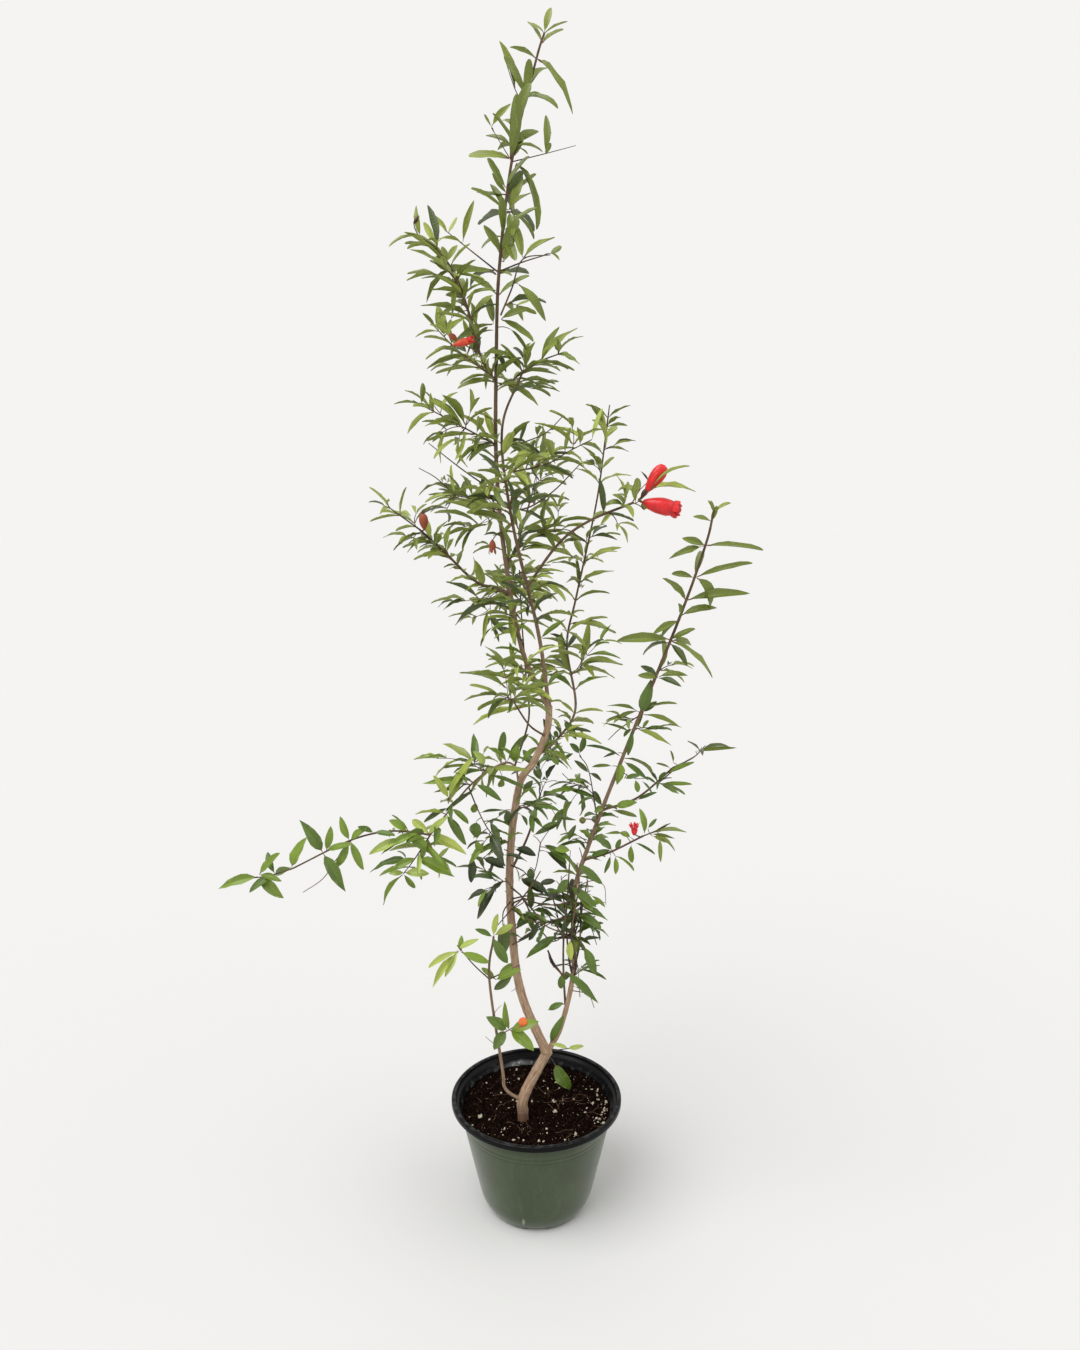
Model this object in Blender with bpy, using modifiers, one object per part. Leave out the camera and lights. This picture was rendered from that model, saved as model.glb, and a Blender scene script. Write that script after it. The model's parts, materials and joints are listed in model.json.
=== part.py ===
"""A young pomegranate tree in its nursery pot, whole, about 1.07 m tall.

Metres, +Z up. The origin is the middle of the pot's flat underside. +X is to the right and
+Y to the back, as the tree is seen from the front. Two stems and a thin side shoot leave one
short crooked trunk. Sizes in the limb and foliage lists are millimetres.
"""

import math

import bpy
import bmesh
from mathutils import Matrix, Vector, noise

NAME = "pomegranate_tree"
MM = 0.001
GAP = 0.3  # clearance between neighbours
MASS_GAP = 0.45  # clearance between masses of foliage

# Pot: a rolled rim on a wall that tapers to a flat foot
POT_HEIGHT = 111.0
RIM_RADIUS = 82.5
RIM_HEIGHT = 5.5
RIM_LIP = 4.5  # how far the rim's inner edge stands in from its outer one
RIM_EDGE = 1.0  # bevel on the rim's two top edges
WALL = 1.6
FLOOR = 4.0
UNDER_RIM_RADIUS = 76.5
KNEE_RADIUS = 56.0  # where the wall turns in to the foot
KNEE_HEIGHT = 10.0
FOOT_RADIUS = 50.0
ROUND_SIDES = 32
NOTCHES = 6  # drain notches under the foot's edge
NOTCH_WIDTH = 16.0
NOTCH_HEIGHT = 2.4
NOTCH_DEPTH = 6.0

SOIL_TOP = 95.0

# Limbs: the limb that bears it and the height where it leaves it, its radius at the foot and
# at the tip, then the places that its middle line passes through (right, back, up).
LIMBS = {
    "trunk": (
        (None, 0, 5.2, 4.6),
        (-13, -20, SOIL_TOP + GAP),
        (-13, -20, 105),
        (-13, -20, 117),
        (-4, -16, 136),
        (11, -10, 162),
    ),
    "main_stem": (
        ("trunk", 160, 4.3, 3.0),
        (-14, -4, 216),
        (-23, 5, 275),
        (-25, 10, 345),
        (-16, 7, 418),
        (-2, 2, 443),
        (10, -2, 474),
        (12, -3, 496),
    ),
    "leader": (
        ("main_stem", 494, 2.3, 0.9),
        (-13, 4, 548),
        (-29, 9, 638),
        (-35, 5, 715),
        (-34, -3, 800),
        (-31, -4, 872),
        (-20, 2, 960),
        (0, 6, 1038),
        (7, 8, 1060),
    ),
    "second_leader": (
        ("main_stem", 494, 1.9, 0.9),
        (2, -18, 565),
        (-20, -26, 660),
        (-29, -17, 738),
        (-12, -12, 786),
    ),
    "right_stem": (
        ("trunk", 158, 2.6, 1.0),
        (24, 0, 182),
        (36, 11, 235),
        (36, 20, 305),
        (51, 24, 357),
        (81, 20, 442),
        (128, 2, 573),
        (149, -8, 641),
        (155, -12, 672),
    ),
    "side_stem": (
        ("trunk", 116, 1.6, 1.0),
        (-29, -26, 132),
        (-32, -28, 155),
        (-43, -34, 247),
        (-39, -29, 286),
    ),
    "low_bough": (
        ("main_stem", 418, 1.7, 1.2),
        (-20, 4, 438),
        (-33, 0, 441),
        (-61, -10, 423),
        (-96, -22, 381),
    ),
    "arching_shoot": (
        ("low_bough", 381, 1.1, 0.9),
        (-131, -24, 385),
        (-168, -26, 377),
        (-220, -30, 352),
    ),
    "upper_left_bough": (("leader", 598, 1.4, 0.9), (-53, -4, 609), (-80, -18, 636), (-100, -25, 655)),
    "flower_bough": (("second_leader", 606, 1.3, 1.0), (19, -40, 643), (44, -50, 662), (80, -60, 677)),
    "inner_right_bough": (
        ("main_stem", 448, 1.6, 0.9),
        (20, 14, 462),
        (37, 28, 489),
        (29, 42, 546),
        (38, 46, 593),
        (56, 48, 679),
        (64, 46, 740),
    ),
    "right_low_bough": (("right_stem", 340, 1.1, 0.9), (69, 4, 355), (98, -14, 377)),
    "right_high_bough": (("right_stem", 390, 1.2, 0.9), (97, 34, 399), (133, 46, 426)),
    "high_left_bough": (("leader", 780, 1.1, 0.9), (-46, -10, 798), (-54, -22, 828), (-66, -30, 858)),
    "back_bough": (("leader", 622, 1.3, 0.9), (-16, 38, 646), (-4, 62, 688)),
    "back_low_bough": (("main_stem", 332, 1.3, 0.9), (-8, 38, 360), (4, 58, 396)),
    "front_bough": (("main_stem", 468, 1.3, 0.9), (-6, -28, 484), (-20, -48, 510)),
}

# Foliage: each mass runs from the place where it leaves its limb to its furthest tip, with
# half its width across and half its thickness.
MASSES = {
    "tip_tuft": ((-15, 3, 994), (22, 9, 1070), 29, 22),
    "first_whorl": ((-54, 4, 970), (33, -4, 980), 31, 16),
    "second_whorl": ((-34, -3, 897), (-20, 3, 955), 34, 28),
    "third_whorl": ((-36, -4, 834), (20, -20, 890), 23, 20),
    "high_left_spray": ((-52, -20, 820), (-102, -40, 904), 22, 22),
    "top_left_spray": ((-31, -4, 776), (-94, 36, 834), 24, 22),
    "top_right_spray": ((-36, -2, 774), (34, -18, 814), 24, 22),
    "left_high_spray": ((-33, 4, 720), (-106, -46, 762), 25, 22),
    "right_high_spray": ((-29, -20, 706), (50, -54, 740), 24, 20),
    "front_high_spray": ((-22, -24, 668), (-34, -92, 694), 25, 20),
    "inner_tip_spray": ((57, 48, 690), (68, 44, 772), 16, 16),
    "flower_spray": ((50, -52, 662), (124, -68, 694), 19, 18),
    "far_left_spray": ((-76, -16, 630), (-136, -36, 684), 22, 17),
    "left_mid_spray": ((-28, 8, 644), (-102, 50, 698), 23, 22),
    "mid_spray": ((-30, 9, 640), (44, 24, 672), 22, 20),
    "back_high_spray": ((-8, 54, 674), (6, 104, 748), 28, 22),
    "back_mid_spray": ((-20, 7, 590), (-18, 90, 616), 26, 20),
    "left_low_spray": ((-17, 6, 568), (-82, 16, 592), 20, 19),
    "right_mid_spray": ((38, 46, 592), (54, 48, 668), 23, 21),
    "mid_low_spray": ((4, -16, 562), (-16, -34, 628), 26, 18),
    "right_low_spray": ((36, 34, 510), (41, 44, 580), 30, 24),
    "fork_tuft": ((8, -2, 502), (-32, 6, 546), 21, 20),
    "front_mid_spray": ((-16, -40, 500), (-36, -94, 548), 25, 18),
    "fork_spray": ((10, 8, 453), (52, 31, 486), 19, 17),
    "right_top_spray": ((134, -2, 586), (166, -14, 686), 45, 28),
    "right_mid_tuft": ((108, 11, 512), (136, -2, 580), 38, 24),
    "right_stem_spray": ((80, 20, 436), (108, 12, 504), 27, 22),
    "right_high_tips": ((100, 35, 399), (196, 58, 450), 25, 18),
    "right_low_tips": ((68, 5, 354), (127, -26, 390), 21, 17),
    "heart_right_spray": ((52, 24, 350), (28, 50, 428), 25, 20),
    "heart_low_spray": ((36, 18, 266), (46, 38, 338), 27, 20),
    "heart_foot_spray": ((36, 14, 252), (46, 30, 184), 23, 16),
    "heart_mid_spray": ((-18, 7, 390), (20, -34, 426), 19, 17),
    "heart_left_spray": ((-25, 10, 398), (-58, -20, 304), 18, 17),
    "heart_inner_spray": ((-21, 7, 296), (22, 40, 276), 17, 20),
    "back_low_spray": ((-2, 48, 382), (14, 100, 440), 27, 20),
    "near_left_spray": ((-24, 3, 442), (-106, 8, 444), 21, 19),
    "hanging_spray": ((-78, -15, 402), (-140, -24, 332), 25, 22),
    "arching_tips": ((-150, -25, 380), (-294, -36, 338), 19, 20),
    "side_tuft": ((-12, -24, 292), (-100, -42, 254), 20, 17),
    "side_low_tuft": ((-36, -31, 186), (5, -26, 216), 16, 15),
}

SAMPLES = 2  # points drawn on a limb between two of its places
THICK_LIMB = 2.0  # a limb with a wider foot has eight sides, and the others six
MASS_ROUND = 9
MASS_RINGS = 6
UNEVEN = 0.48  # how far lumps stand out, as a share of the radius
LUMP_PITCH = 1.3
LUMP_STEP = Vector((7.3, 1.7, 0.0))  # from one mass's lumps to the next one's
STEEP = 0.6  # a mass whose axis has less run than this to its length stands upright
TAPER = 0.35  # how much slimmer a mass is towards its tip
FULLNESS = 0.45  # how blunt its ends are
FLARE = 0.14  # extra radius at the trunk's foot
FLARE_FADE = 6.0

BARK = (0.30, 0.19, 0.11, 1.0)
LEAF = (0.09, 0.23, 0.03, 1.0)
POT_GREEN = (0.055, 0.10, 0.05, 1.0)
SOIL_BROWN = (0.012, 0.008, 0.006, 1.0)


def clear_scene():
    for thing in list(bpy.data.objects):
        bpy.data.objects.remove(thing, do_unlink=True)


def new_collection(name):
    made = bpy.data.collections.new(name)
    bpy.context.scene.collection.children.link(made)
    return made


def material(name, colour, roughness):
    made = bpy.data.materials.new(name)
    made.use_nodes = True
    shader = made.node_tree.nodes["Principled BSDF"]
    shader.inputs["Base Color"].default_value = colour
    shader.inputs["Roughness"].default_value = roughness
    shader.inputs["Metallic"].default_value = 0.0
    made.diffuse_color = colour
    return made


def add_object(name, mesh, collection, finish=None):
    made = bpy.data.objects.new(name, mesh)
    collection.objects.link(made)
    if finish:
        mesh.materials.append(finish)
    mesh.shade_smooth()
    return made


def add_cutter(name, mesh, collection):
    made = add_object(name, mesh, collection)
    made.hide_render = True
    made.display_type = "WIRE"
    return made


def cut(target, cutter):
    step = target.modifiers.new("cut_" + cutter.name, "BOOLEAN")
    step.operation = "DIFFERENCE"
    step.solver = "EXACT"
    step.object = cutter


def turned(name, profile, collection, finish):
    """A body turned round Z from (radius, height) points, up the inside and down the outside."""
    mesh = bpy.data.meshes.new(name)
    points = [(radius * MM, 0.0, height * MM) for radius, height in profile]
    edges = [(i, i + 1) for i in range(len(points) - 1)]
    mesh.from_pydata(points, edges, [])
    body = add_object(name, mesh, collection, finish)
    screw = body.modifiers.new("turn", "SCREW")
    screw.steps = ROUND_SIDES
    screw.render_steps = ROUND_SIDES
    screw.use_merge_vertices = True
    screw.merge_threshold = 0.00005
    screw.use_smooth_shade = True
    return body


def inner_radius(height):
    """The pot's inner wall at a height."""
    if height < KNEE_HEIGHT:
        share = height / KNEE_HEIGHT
        return FOOT_RADIUS + (KNEE_RADIUS - FOOT_RADIUS) * share - WALL
    share = (height - KNEE_HEIGHT) / (POT_HEIGHT - RIM_HEIGHT - KNEE_HEIGHT)
    return KNEE_RADIUS + (UNDER_RIM_RADIUS - KNEE_RADIUS) * min(share, 1.0) - WALL


def make_pot(parts, cutters):
    rim_base = POT_HEIGHT - RIM_HEIGHT
    lip_inside = RIM_RADIUS - RIM_LIP
    profile = (
        (0.0, FLOOR),
        (inner_radius(FLOOR), FLOOR),
        (inner_radius(KNEE_HEIGHT), KNEE_HEIGHT),
        (inner_radius(rim_base), rim_base),
        (lip_inside, rim_base + WALL),
        (lip_inside, POT_HEIGHT - RIM_EDGE),
        (lip_inside + RIM_EDGE, POT_HEIGHT),
        (RIM_RADIUS - RIM_EDGE, POT_HEIGHT),
        (RIM_RADIUS, POT_HEIGHT - RIM_EDGE),
        (RIM_RADIUS, rim_base),
        (UNDER_RIM_RADIUS, rim_base),
        (KNEE_RADIUS, KNEE_HEIGHT),
        (FOOT_RADIUS, 0.0),
        (0.0, 0.0),
    )
    pot = turned("pot", profile, parts, material("moulded_pot", POT_GREEN, 0.55))
    for i in range(NOTCHES):
        turn = 2 * math.pi * (i + 0.5) / NOTCHES
        box = bmesh.new()
        bmesh.ops.create_cube(box, size=1.0)
        size = (NOTCH_DEPTH * 2 * MM, NOTCH_WIDTH * MM, NOTCH_HEIGHT * 2 * MM)
        bmesh.ops.scale(box, vec=size, verts=box.verts)
        bmesh.ops.translate(box, vec=(FOOT_RADIUS * MM, 0.0, 0.0), verts=box.verts)
        bmesh.ops.rotate(box, matrix=Matrix.Rotation(turn, 3, "Z"), verts=box.verts)
        mesh = bpy.data.meshes.new(f"notch_{i + 1}")
        box.to_mesh(mesh)
        box.free()
        cut(pot, add_cutter(mesh.name, mesh, cutters))


def make_soil(parts):
    profile = (
        (0.0, SOIL_TOP),
        (inner_radius(SOIL_TOP) - GAP, SOIL_TOP),
        (inner_radius(KNEE_HEIGHT) - GAP, KNEE_HEIGHT),
        (inner_radius(FLOOR) - GAP, FLOOR + GAP),
        (0.0, FLOOR + GAP),
    )
    turned("soil", profile, parts, material("potting_soil", SOIL_BROWN, 0.95))


def smooth_path(places):
    """Points on a smooth line through the places, each with its share of the way along."""
    spots = [Vector(p) for p in places]
    before = [spots[0] * 2 - spots[1]] + spots[:-1]
    after = spots[1:] + [spots[-1] * 2 - spots[-2]]
    points = []
    for i in range(len(spots) - 1):
        slope_in = (after[i] - before[i]) / 2
        slope_out = (after[i + 1] - before[i + 1]) / 2
        for k in range(SAMPLES):
            t = k / SAMPLES
            points.append(
                spots[i] * (2 * t**3 - 3 * t**2 + 1)
                + slope_in * (t**3 - 2 * t**2 + t)
                + spots[i + 1] * (3 * t**2 - 2 * t**3)
                + slope_out * (t**3 - t**2)
            )
    points.append(spots[-1])
    return points


def height_on(name, height):
    """The place on a limb's middle line at a height, or its tip."""
    points = limb_points(name)
    for low, high in zip(points, points[1:]):
        if min(low.z, high.z) <= height <= max(low.z, high.z) and low.z != high.z:
            return low.lerp(high, (height - low.z) / (high.z - low.z))
    return points[-1]


def limb_points(name):
    """The points on a limb's middle line, from inside the limb that bears it."""
    (bearer, height, _, _), *places = LIMBS[name]
    if bearer:
        places.insert(0, height_on(bearer, height))
    return smooth_path(places)


def limb_mesh(name, grow=0.0):
    """A tapering limb, thicker all round by grow, and longer at both ends by the same."""
    _, _, foot, tip = LIMBS[name][0]
    points = limb_points(name)
    lengths = [0.0]
    for a, b in zip(points, points[1:]):
        lengths.append(lengths[-1] + (b - a).length)
    if grow:
        points[-1] = points[-1] + (points[-1] - points[-2]).normalized() * grow
        points[0] = points[0] + (points[0] - points[1]).normalized() * grow
    curve = bpy.data.curves.new(name, "CURVE")
    curve.dimensions = "3D"
    curve.bevel_depth = 1.0
    curve.bevel_resolution = 2 if foot > THICK_LIMB else 1
    curve.use_fill_caps = True
    spline = curve.splines.new("POLY")
    spline.points.add(len(points) - 1)
    for spot, place, length in zip(spline.points, points, lengths):
        spot.co = (*(place * MM), 1.0)
        radius = foot + (tip - foot) * length / lengths[-1]
        if name == "trunk":
            radius += foot * FLARE * math.exp(-length / FLARE_FADE)
        spot.radius = (radius + grow) * MM
    drawn = bpy.data.objects.new(name + "_line", curve)
    bpy.context.scene.collection.objects.link(drawn)
    bpy.context.view_layer.update()
    seen = drawn.evaluated_get(bpy.context.evaluated_depsgraph_get())
    mesh = bpy.data.meshes.new_from_object(seen)
    mesh.name = name
    bpy.data.objects.remove(drawn, do_unlink=True)
    body = bmesh.new()
    body.from_mesh(mesh)
    bmesh.ops.remove_doubles(body, verts=body.verts, dist=0.00001)
    bmesh.ops.recalc_face_normals(body, faces=body.faces)
    body.to_mesh(mesh)
    body.free()
    return mesh


def mass_mesh(name, seed, grow=0.0):
    """An uneven closed mass, fullest near its middle and drawn in towards its tip."""
    foot, tip, wide, thick = MASSES[name]
    foot = Vector(foot)
    tip = Vector(tip)
    axis = (tip - foot).normalized()
    side = axis.cross(Vector((0, 0, 1)))
    if side.length < STEEP:
        side = axis.cross(Vector((0, -1, 0)))
    side.normalize()
    across = axis.cross(side)
    half = (tip - foot).length / 2
    middle = (foot + tip) / 2
    body = bmesh.new()
    bmesh.ops.create_uvsphere(body, u_segments=MASS_ROUND, v_segments=MASS_RINGS, radius=1.0)
    for spot in body.verts:
        on_ball = spot.co.copy()
        lump = noise.noise(on_ball * LUMP_PITCH + LUMP_STEP * seed)
        swell = (1 + UNEVEN * lump) * (1 - TAPER * max(on_ball.z, 0.0))
        swell *= 1 + FULLNESS * on_ball.z**2
        place = (
            middle
            + side * (on_ball.x * wide * swell)
            + across * (on_ball.y * thick * swell)
            + axis * (on_ball.z * half)
        )
        spot.co = place * MM
    body.normal_update()
    for spot in body.verts:
        spot.co = spot.co + spot.normal * (grow * MM)
    bmesh.ops.triangulate(body, faces=body.faces)
    mesh = bpy.data.meshes.new(name)
    body.to_mesh(mesh)
    body.free()
    return mesh


def box_of(mesh):
    xs, ys, zs = zip(*(v.co for v in mesh.vertices))
    return (min(xs), min(ys), min(zs)), (max(xs), max(ys), max(zs))


def boxes_meet(first, second):
    return all(first[0][i] < second[1][i] and second[0][i] < first[1][i] for i in range(3))


def make_plant(parts, cutters):
    """Every limb and mass, where each gives way to those named before it."""
    bark = material("bark", BARK, 0.8)
    leaf = material("foliage", LEAF, 0.6)
    standing = []
    for name in LIMBS:
        standing.append((name, limb_mesh(name), limb_mesh(name, GAP), bark))
    for seed, name in enumerate(MASSES, 1):
        standing.append((name, mass_mesh(name, seed), mass_mesh(name, seed, MASS_GAP), leaf))
    earlier = []
    for name, mesh, wider, finish in standing:
        body = add_object(name, mesh, parts, finish)
        for cutter, box in earlier:
            if boxes_meet(box, box_of(mesh)):
                cut(body, cutter)
        earlier.append((add_cutter(name + "_room", wider, cutters), box_of(wider)))


def main():
    clear_scene()
    parts = new_collection(NAME)
    cutters = new_collection(NAME + "_cutters")
    make_pot(parts, cutters)
    make_soil(parts)
    make_plant(parts, cutters)


main()
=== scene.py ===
# %% [markdown]
# # A young pomegranate tree in its nursery pot
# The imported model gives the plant's limbs, its masses of foliage, the pot and the soil as plain
# solids. This lesson gives each of them its looks. The limbs get a skin with the bark's relief.
# Twigs, leaves, flowers and fruit then grow on from the limbs and fill the space of each mass.
# Sizes are in millimetres until a mesh is made, and Blender works in metres.

import json
import math
import random
from collections import namedtuple

import bmesh
import bpy
from mathutils import Matrix, Vector, noise
from mathutils.bvhtree import BVHTree

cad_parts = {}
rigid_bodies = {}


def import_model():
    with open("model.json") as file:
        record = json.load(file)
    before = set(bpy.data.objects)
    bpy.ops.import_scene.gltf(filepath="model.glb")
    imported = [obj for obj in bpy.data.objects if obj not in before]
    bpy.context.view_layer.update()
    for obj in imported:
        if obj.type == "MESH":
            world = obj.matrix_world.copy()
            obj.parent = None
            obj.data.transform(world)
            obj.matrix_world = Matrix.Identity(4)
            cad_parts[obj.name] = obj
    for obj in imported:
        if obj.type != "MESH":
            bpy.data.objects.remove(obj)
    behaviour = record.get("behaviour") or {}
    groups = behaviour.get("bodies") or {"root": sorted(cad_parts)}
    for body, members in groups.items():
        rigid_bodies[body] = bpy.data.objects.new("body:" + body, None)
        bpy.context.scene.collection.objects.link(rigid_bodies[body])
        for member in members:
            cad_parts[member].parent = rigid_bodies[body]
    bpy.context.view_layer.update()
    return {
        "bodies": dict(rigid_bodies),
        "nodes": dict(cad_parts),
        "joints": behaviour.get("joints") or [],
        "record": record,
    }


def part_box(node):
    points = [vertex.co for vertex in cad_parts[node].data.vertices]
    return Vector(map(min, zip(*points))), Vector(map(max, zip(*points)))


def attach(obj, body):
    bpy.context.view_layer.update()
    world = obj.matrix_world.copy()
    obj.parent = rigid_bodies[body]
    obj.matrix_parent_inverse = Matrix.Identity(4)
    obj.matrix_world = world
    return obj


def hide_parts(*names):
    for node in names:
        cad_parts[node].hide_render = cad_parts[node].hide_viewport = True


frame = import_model()
MM = 0.001
UP = Vector((0, 0, 1))
FRONT = Vector((0, -1, 0))
print("nodes in the frame:", len(frame["nodes"]))

# %% [markdown]
# ## The camera
# The photo was taken from the height of the crown's middle, with the camera tipped down a little.
# A camera is set by its place, its pitch and its lens. The lens is kept as the focal length in
# pixels of the photo, and the sensor's longer side stands for the photo's height.

# %% Camera
PHOTO_HEIGHT = 1350
FOCAL_PIXELS = 950
SENSOR = 36.0
CAMERA_PLACE = Vector((3.5, -851, 660.8))
PITCH_DOWN = 9.11

camera_data = bpy.data.cameras.new("camera")
camera_data.sensor_width = SENSOR
camera_data.lens = FOCAL_PIXELS * SENSOR / PHOTO_HEIGHT
camera_data.clip_end = 200
camera = bpy.data.objects.new("camera", camera_data)
camera.location = CAMERA_PLACE * MM
camera.rotation_euler = (math.radians(90 - PITCH_DOWN), 0, 0)
bpy.context.scene.collection.objects.link(camera)
bpy.context.scene.camera = camera
bpy.context.scene.view_settings.view_transform = "Standard"
print("lens", round(camera_data.lens, 2), "mm")

# %% [markdown]
# ## Short calls for node trees
# Materials and Geometry Nodes are both trees of nodes. One small function adds a node, sets its
# options and fills or links its inputs, so that each tree further down reads like a recipe.

# %% Node helpers
def add(tree, kind, inputs=None, **options):
    """A new node, with its options set and its inputs set or linked."""
    made = tree.nodes.new(kind)
    for name, value in options.items():
        setattr(made, name, value)
    for name, value in (inputs or {}).items():
        if isinstance(value, bpy.types.NodeSocket):
            tree.links.new(value, made.inputs[name])
        else:
            made.inputs[name].default_value = value
    return made


def rgb(red, green, blue):
    """A colour given as it shows on a screen, from 0 to 255, for a shader."""
    parts = [value / 255 for value in (red, green, blue)]
    linear = [v / 12.92 if v <= 0.04045 else ((v + 0.055) / 1.055) ** 2.4 for v in parts]
    return (*linear, 1.0)


def mix(tree, share, first, second):
    """Two colours mixed by a share from 0 to 1."""
    return add(tree, "ShaderNodeMix", {0: share, 6: first, 7: second}, data_type="RGBA").outputs[2]


def rescale(tree, value, low, high, to_low=0.0, to_high=1.0):
    """A value moved from one range to another, and kept inside it."""
    made = add(
        tree,
        "ShaderNodeMapRange",
        {"Value": value, "From Min": low, "From Max": high, "To Min": to_low, "To Max": to_high},
    )
    return made.outputs["Result"]


def reckon(tree, operation, first, second=0.0):
    """One step of arithmetic on values."""
    return add(tree, "ShaderNodeMath", {0: first, 1: second}, operation=operation).outputs[0]


def lay_over(tree, colour, share, most, other):
    """Another colour laid over the first, as much as the share says, and at most so much."""
    return mix(tree, reckon(tree, "MULTIPLY", share, most), colour, other)


def grain(tree, where, scale, detail=3.0, rough=0.55):
    """Soft random spots, as a value from 0 to 1."""
    made = add(
        tree,
        "ShaderNodeTexNoise",
        {"Vector": where, "Scale": scale, "Detail": detail, "Roughness": rough},
    )
    return made.outputs["Fac"]


def stretch(tree, where, scale):
    """Coordinates scaled apart along the three axes, for drawn-out patterns."""
    return add(tree, "ShaderNodeMapping", {"Vector": where, "Scale": scale}).outputs["Vector"]


def relief(tree, height, distance, strength=1.0, under=None):
    """A normal that makes the surface look raised where the height is more."""
    made = add(tree, "ShaderNodeBump", {"Height": height, "Distance": distance, "Strength": strength})
    if under:
        tree.links.new(under, made.inputs["Normal"])
    return made.outputs["Normal"]


def patch_reach(tree, where, place, squeeze):
    """How far a point is from the middle of a patch, squeezed so that its edge is about 1."""
    step = add(tree, "ShaderNodeVectorMath", {0: where, 1: place * MM}, operation="SUBTRACT")
    step = add(tree, "ShaderNodeVectorMath", {0: step.outputs[0], 1: squeeze}, operation="MULTIPLY")
    return add(tree, "ShaderNodeVectorMath", {0: step.outputs[0]}, operation="LENGTH").outputs["Value"]


def finish(name, roughness, specular=0.4):
    """A new material: its tree, its shader and the coordinates of the object."""
    made = bpy.data.materials.new(name)
    made.use_nodes = True
    tree = made.node_tree
    shader = tree.nodes["Principled BSDF"]
    shader.inputs["Roughness"].default_value = roughness
    shader.inputs["Specular IOR Level"].default_value = specular
    where = add(tree, "ShaderNodeTexCoord").outputs["Object"]
    return made, tree, shader, where


def feed(tree, shader, colour, normal=None, roughness=None):
    """Links the colour to the shader, and the normal and the roughness where they vary."""
    tree.links.new(colour, shader.inputs["Base Color"])
    if normal:
        tree.links.new(normal, shader.inputs["Normal"])
    if roughness:
        tree.links.new(roughness, shader.inputs["Roughness"])


# %% [markdown]
# ## Light and floor
# The photo has an even, pale, shadowless light. A bright world gives most of it. A wide sun from
# the upper left adds some shape, and a weaker one from the right fills the other side. Suns light
# the whole floor alike, so the floor meets the background with no line between them.

# %% World and suns
BACKGROUND = rgb(245, 244, 242)
AMBIENT = 0.8
AMBIENT_COLOUR = (1.0, 0.99, 0.97, 1.0)
# name, strength, width of the disc and turn, in degrees
KEY_SUN = ("key_sun", 2.0, 48, (34, 0, -50))
FILL_SUN = ("fill_sun", 0.6, 60, (50, 0, 75))

world = bpy.data.worlds.new("soft_light")
bpy.context.scene.world = world
world.use_nodes = True
sky = world.node_tree
sky.nodes.clear()
ray = add(sky, "ShaderNodeLightPath")
seen = add(sky, "ShaderNodeBackground", {"Color": BACKGROUND, "Strength": 1.0})
glow = add(sky, "ShaderNodeBackground", {"Color": AMBIENT_COLOUR, "Strength": AMBIENT})
either = add(
    sky,
    "ShaderNodeMixShader",
    {0: ray.outputs["Is Camera Ray"], 1: glow.outputs[0], 2: seen.outputs[0]},
)
add(sky, "ShaderNodeOutputWorld", {"Surface": either.outputs[0]})

for name, strength, width, turn in (KEY_SUN, FILL_SUN):
    data = bpy.data.lights.new(name, "SUN")
    data.energy = strength
    data.angle = math.radians(width)
    sun = bpy.data.objects.new(name, data)
    sun.rotation_euler = [math.radians(angle) for angle in turn]
    bpy.context.scene.collection.objects.link(sun)
    print(name, "strength", strength, "width", width, "degrees")

# %% Floor
FLOOR_RADIUS = 60.0
# under these lights this grey comes out as light as the background
FLOOR_COLOUR = (0.629, 0.626, 0.6205, 1.0)

disc = bmesh.new()
bmesh.ops.create_circle(disc, cap_ends=True, segments=96, radius=FLOOR_RADIUS)
floor_mesh = bpy.data.meshes.new("floor")
disc.to_mesh(floor_mesh)
disc.free()
floor = bpy.data.objects.new("floor", floor_mesh)
bpy.context.scene.collection.objects.link(floor)
paper, tree, shader, where = finish("pale_floor", 0.9, 0.0)
shader.inputs["Base Color"].default_value = FLOOR_COLOUR
floor_mesh.materials.append(paper)
print("floor", 2 * FLOOR_RADIUS, "m across")

# %% [markdown]
# ## Lofted bodies
# The pot, the soil, the limbs, the buds and the petals are all closed skins over rings of points.
# A Skin writes them all in one way: it joins each ring to the next one, and closes both ends with
# a fan of faces to one point. It keeps a map with u round the body and v along it.

# %% Closed meshes
def set_map(mesh, maps):
    """Gives a mesh its map, one pair for each corner of each face."""
    layer = mesh.uv_layers.new(name="UVMap")
    layer.data.foreach_set("uv", [value for pair in maps for value in pair])


def face_out(mesh):
    """Turns a closed mesh's faces outwards and shades it smooth."""
    solid = bmesh.new()
    solid.from_mesh(mesh)
    bmesh.ops.recalc_face_normals(solid, faces=solid.faces)
    solid.to_mesh(mesh)
    solid.free()
    mesh.shade_smooth()


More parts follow.
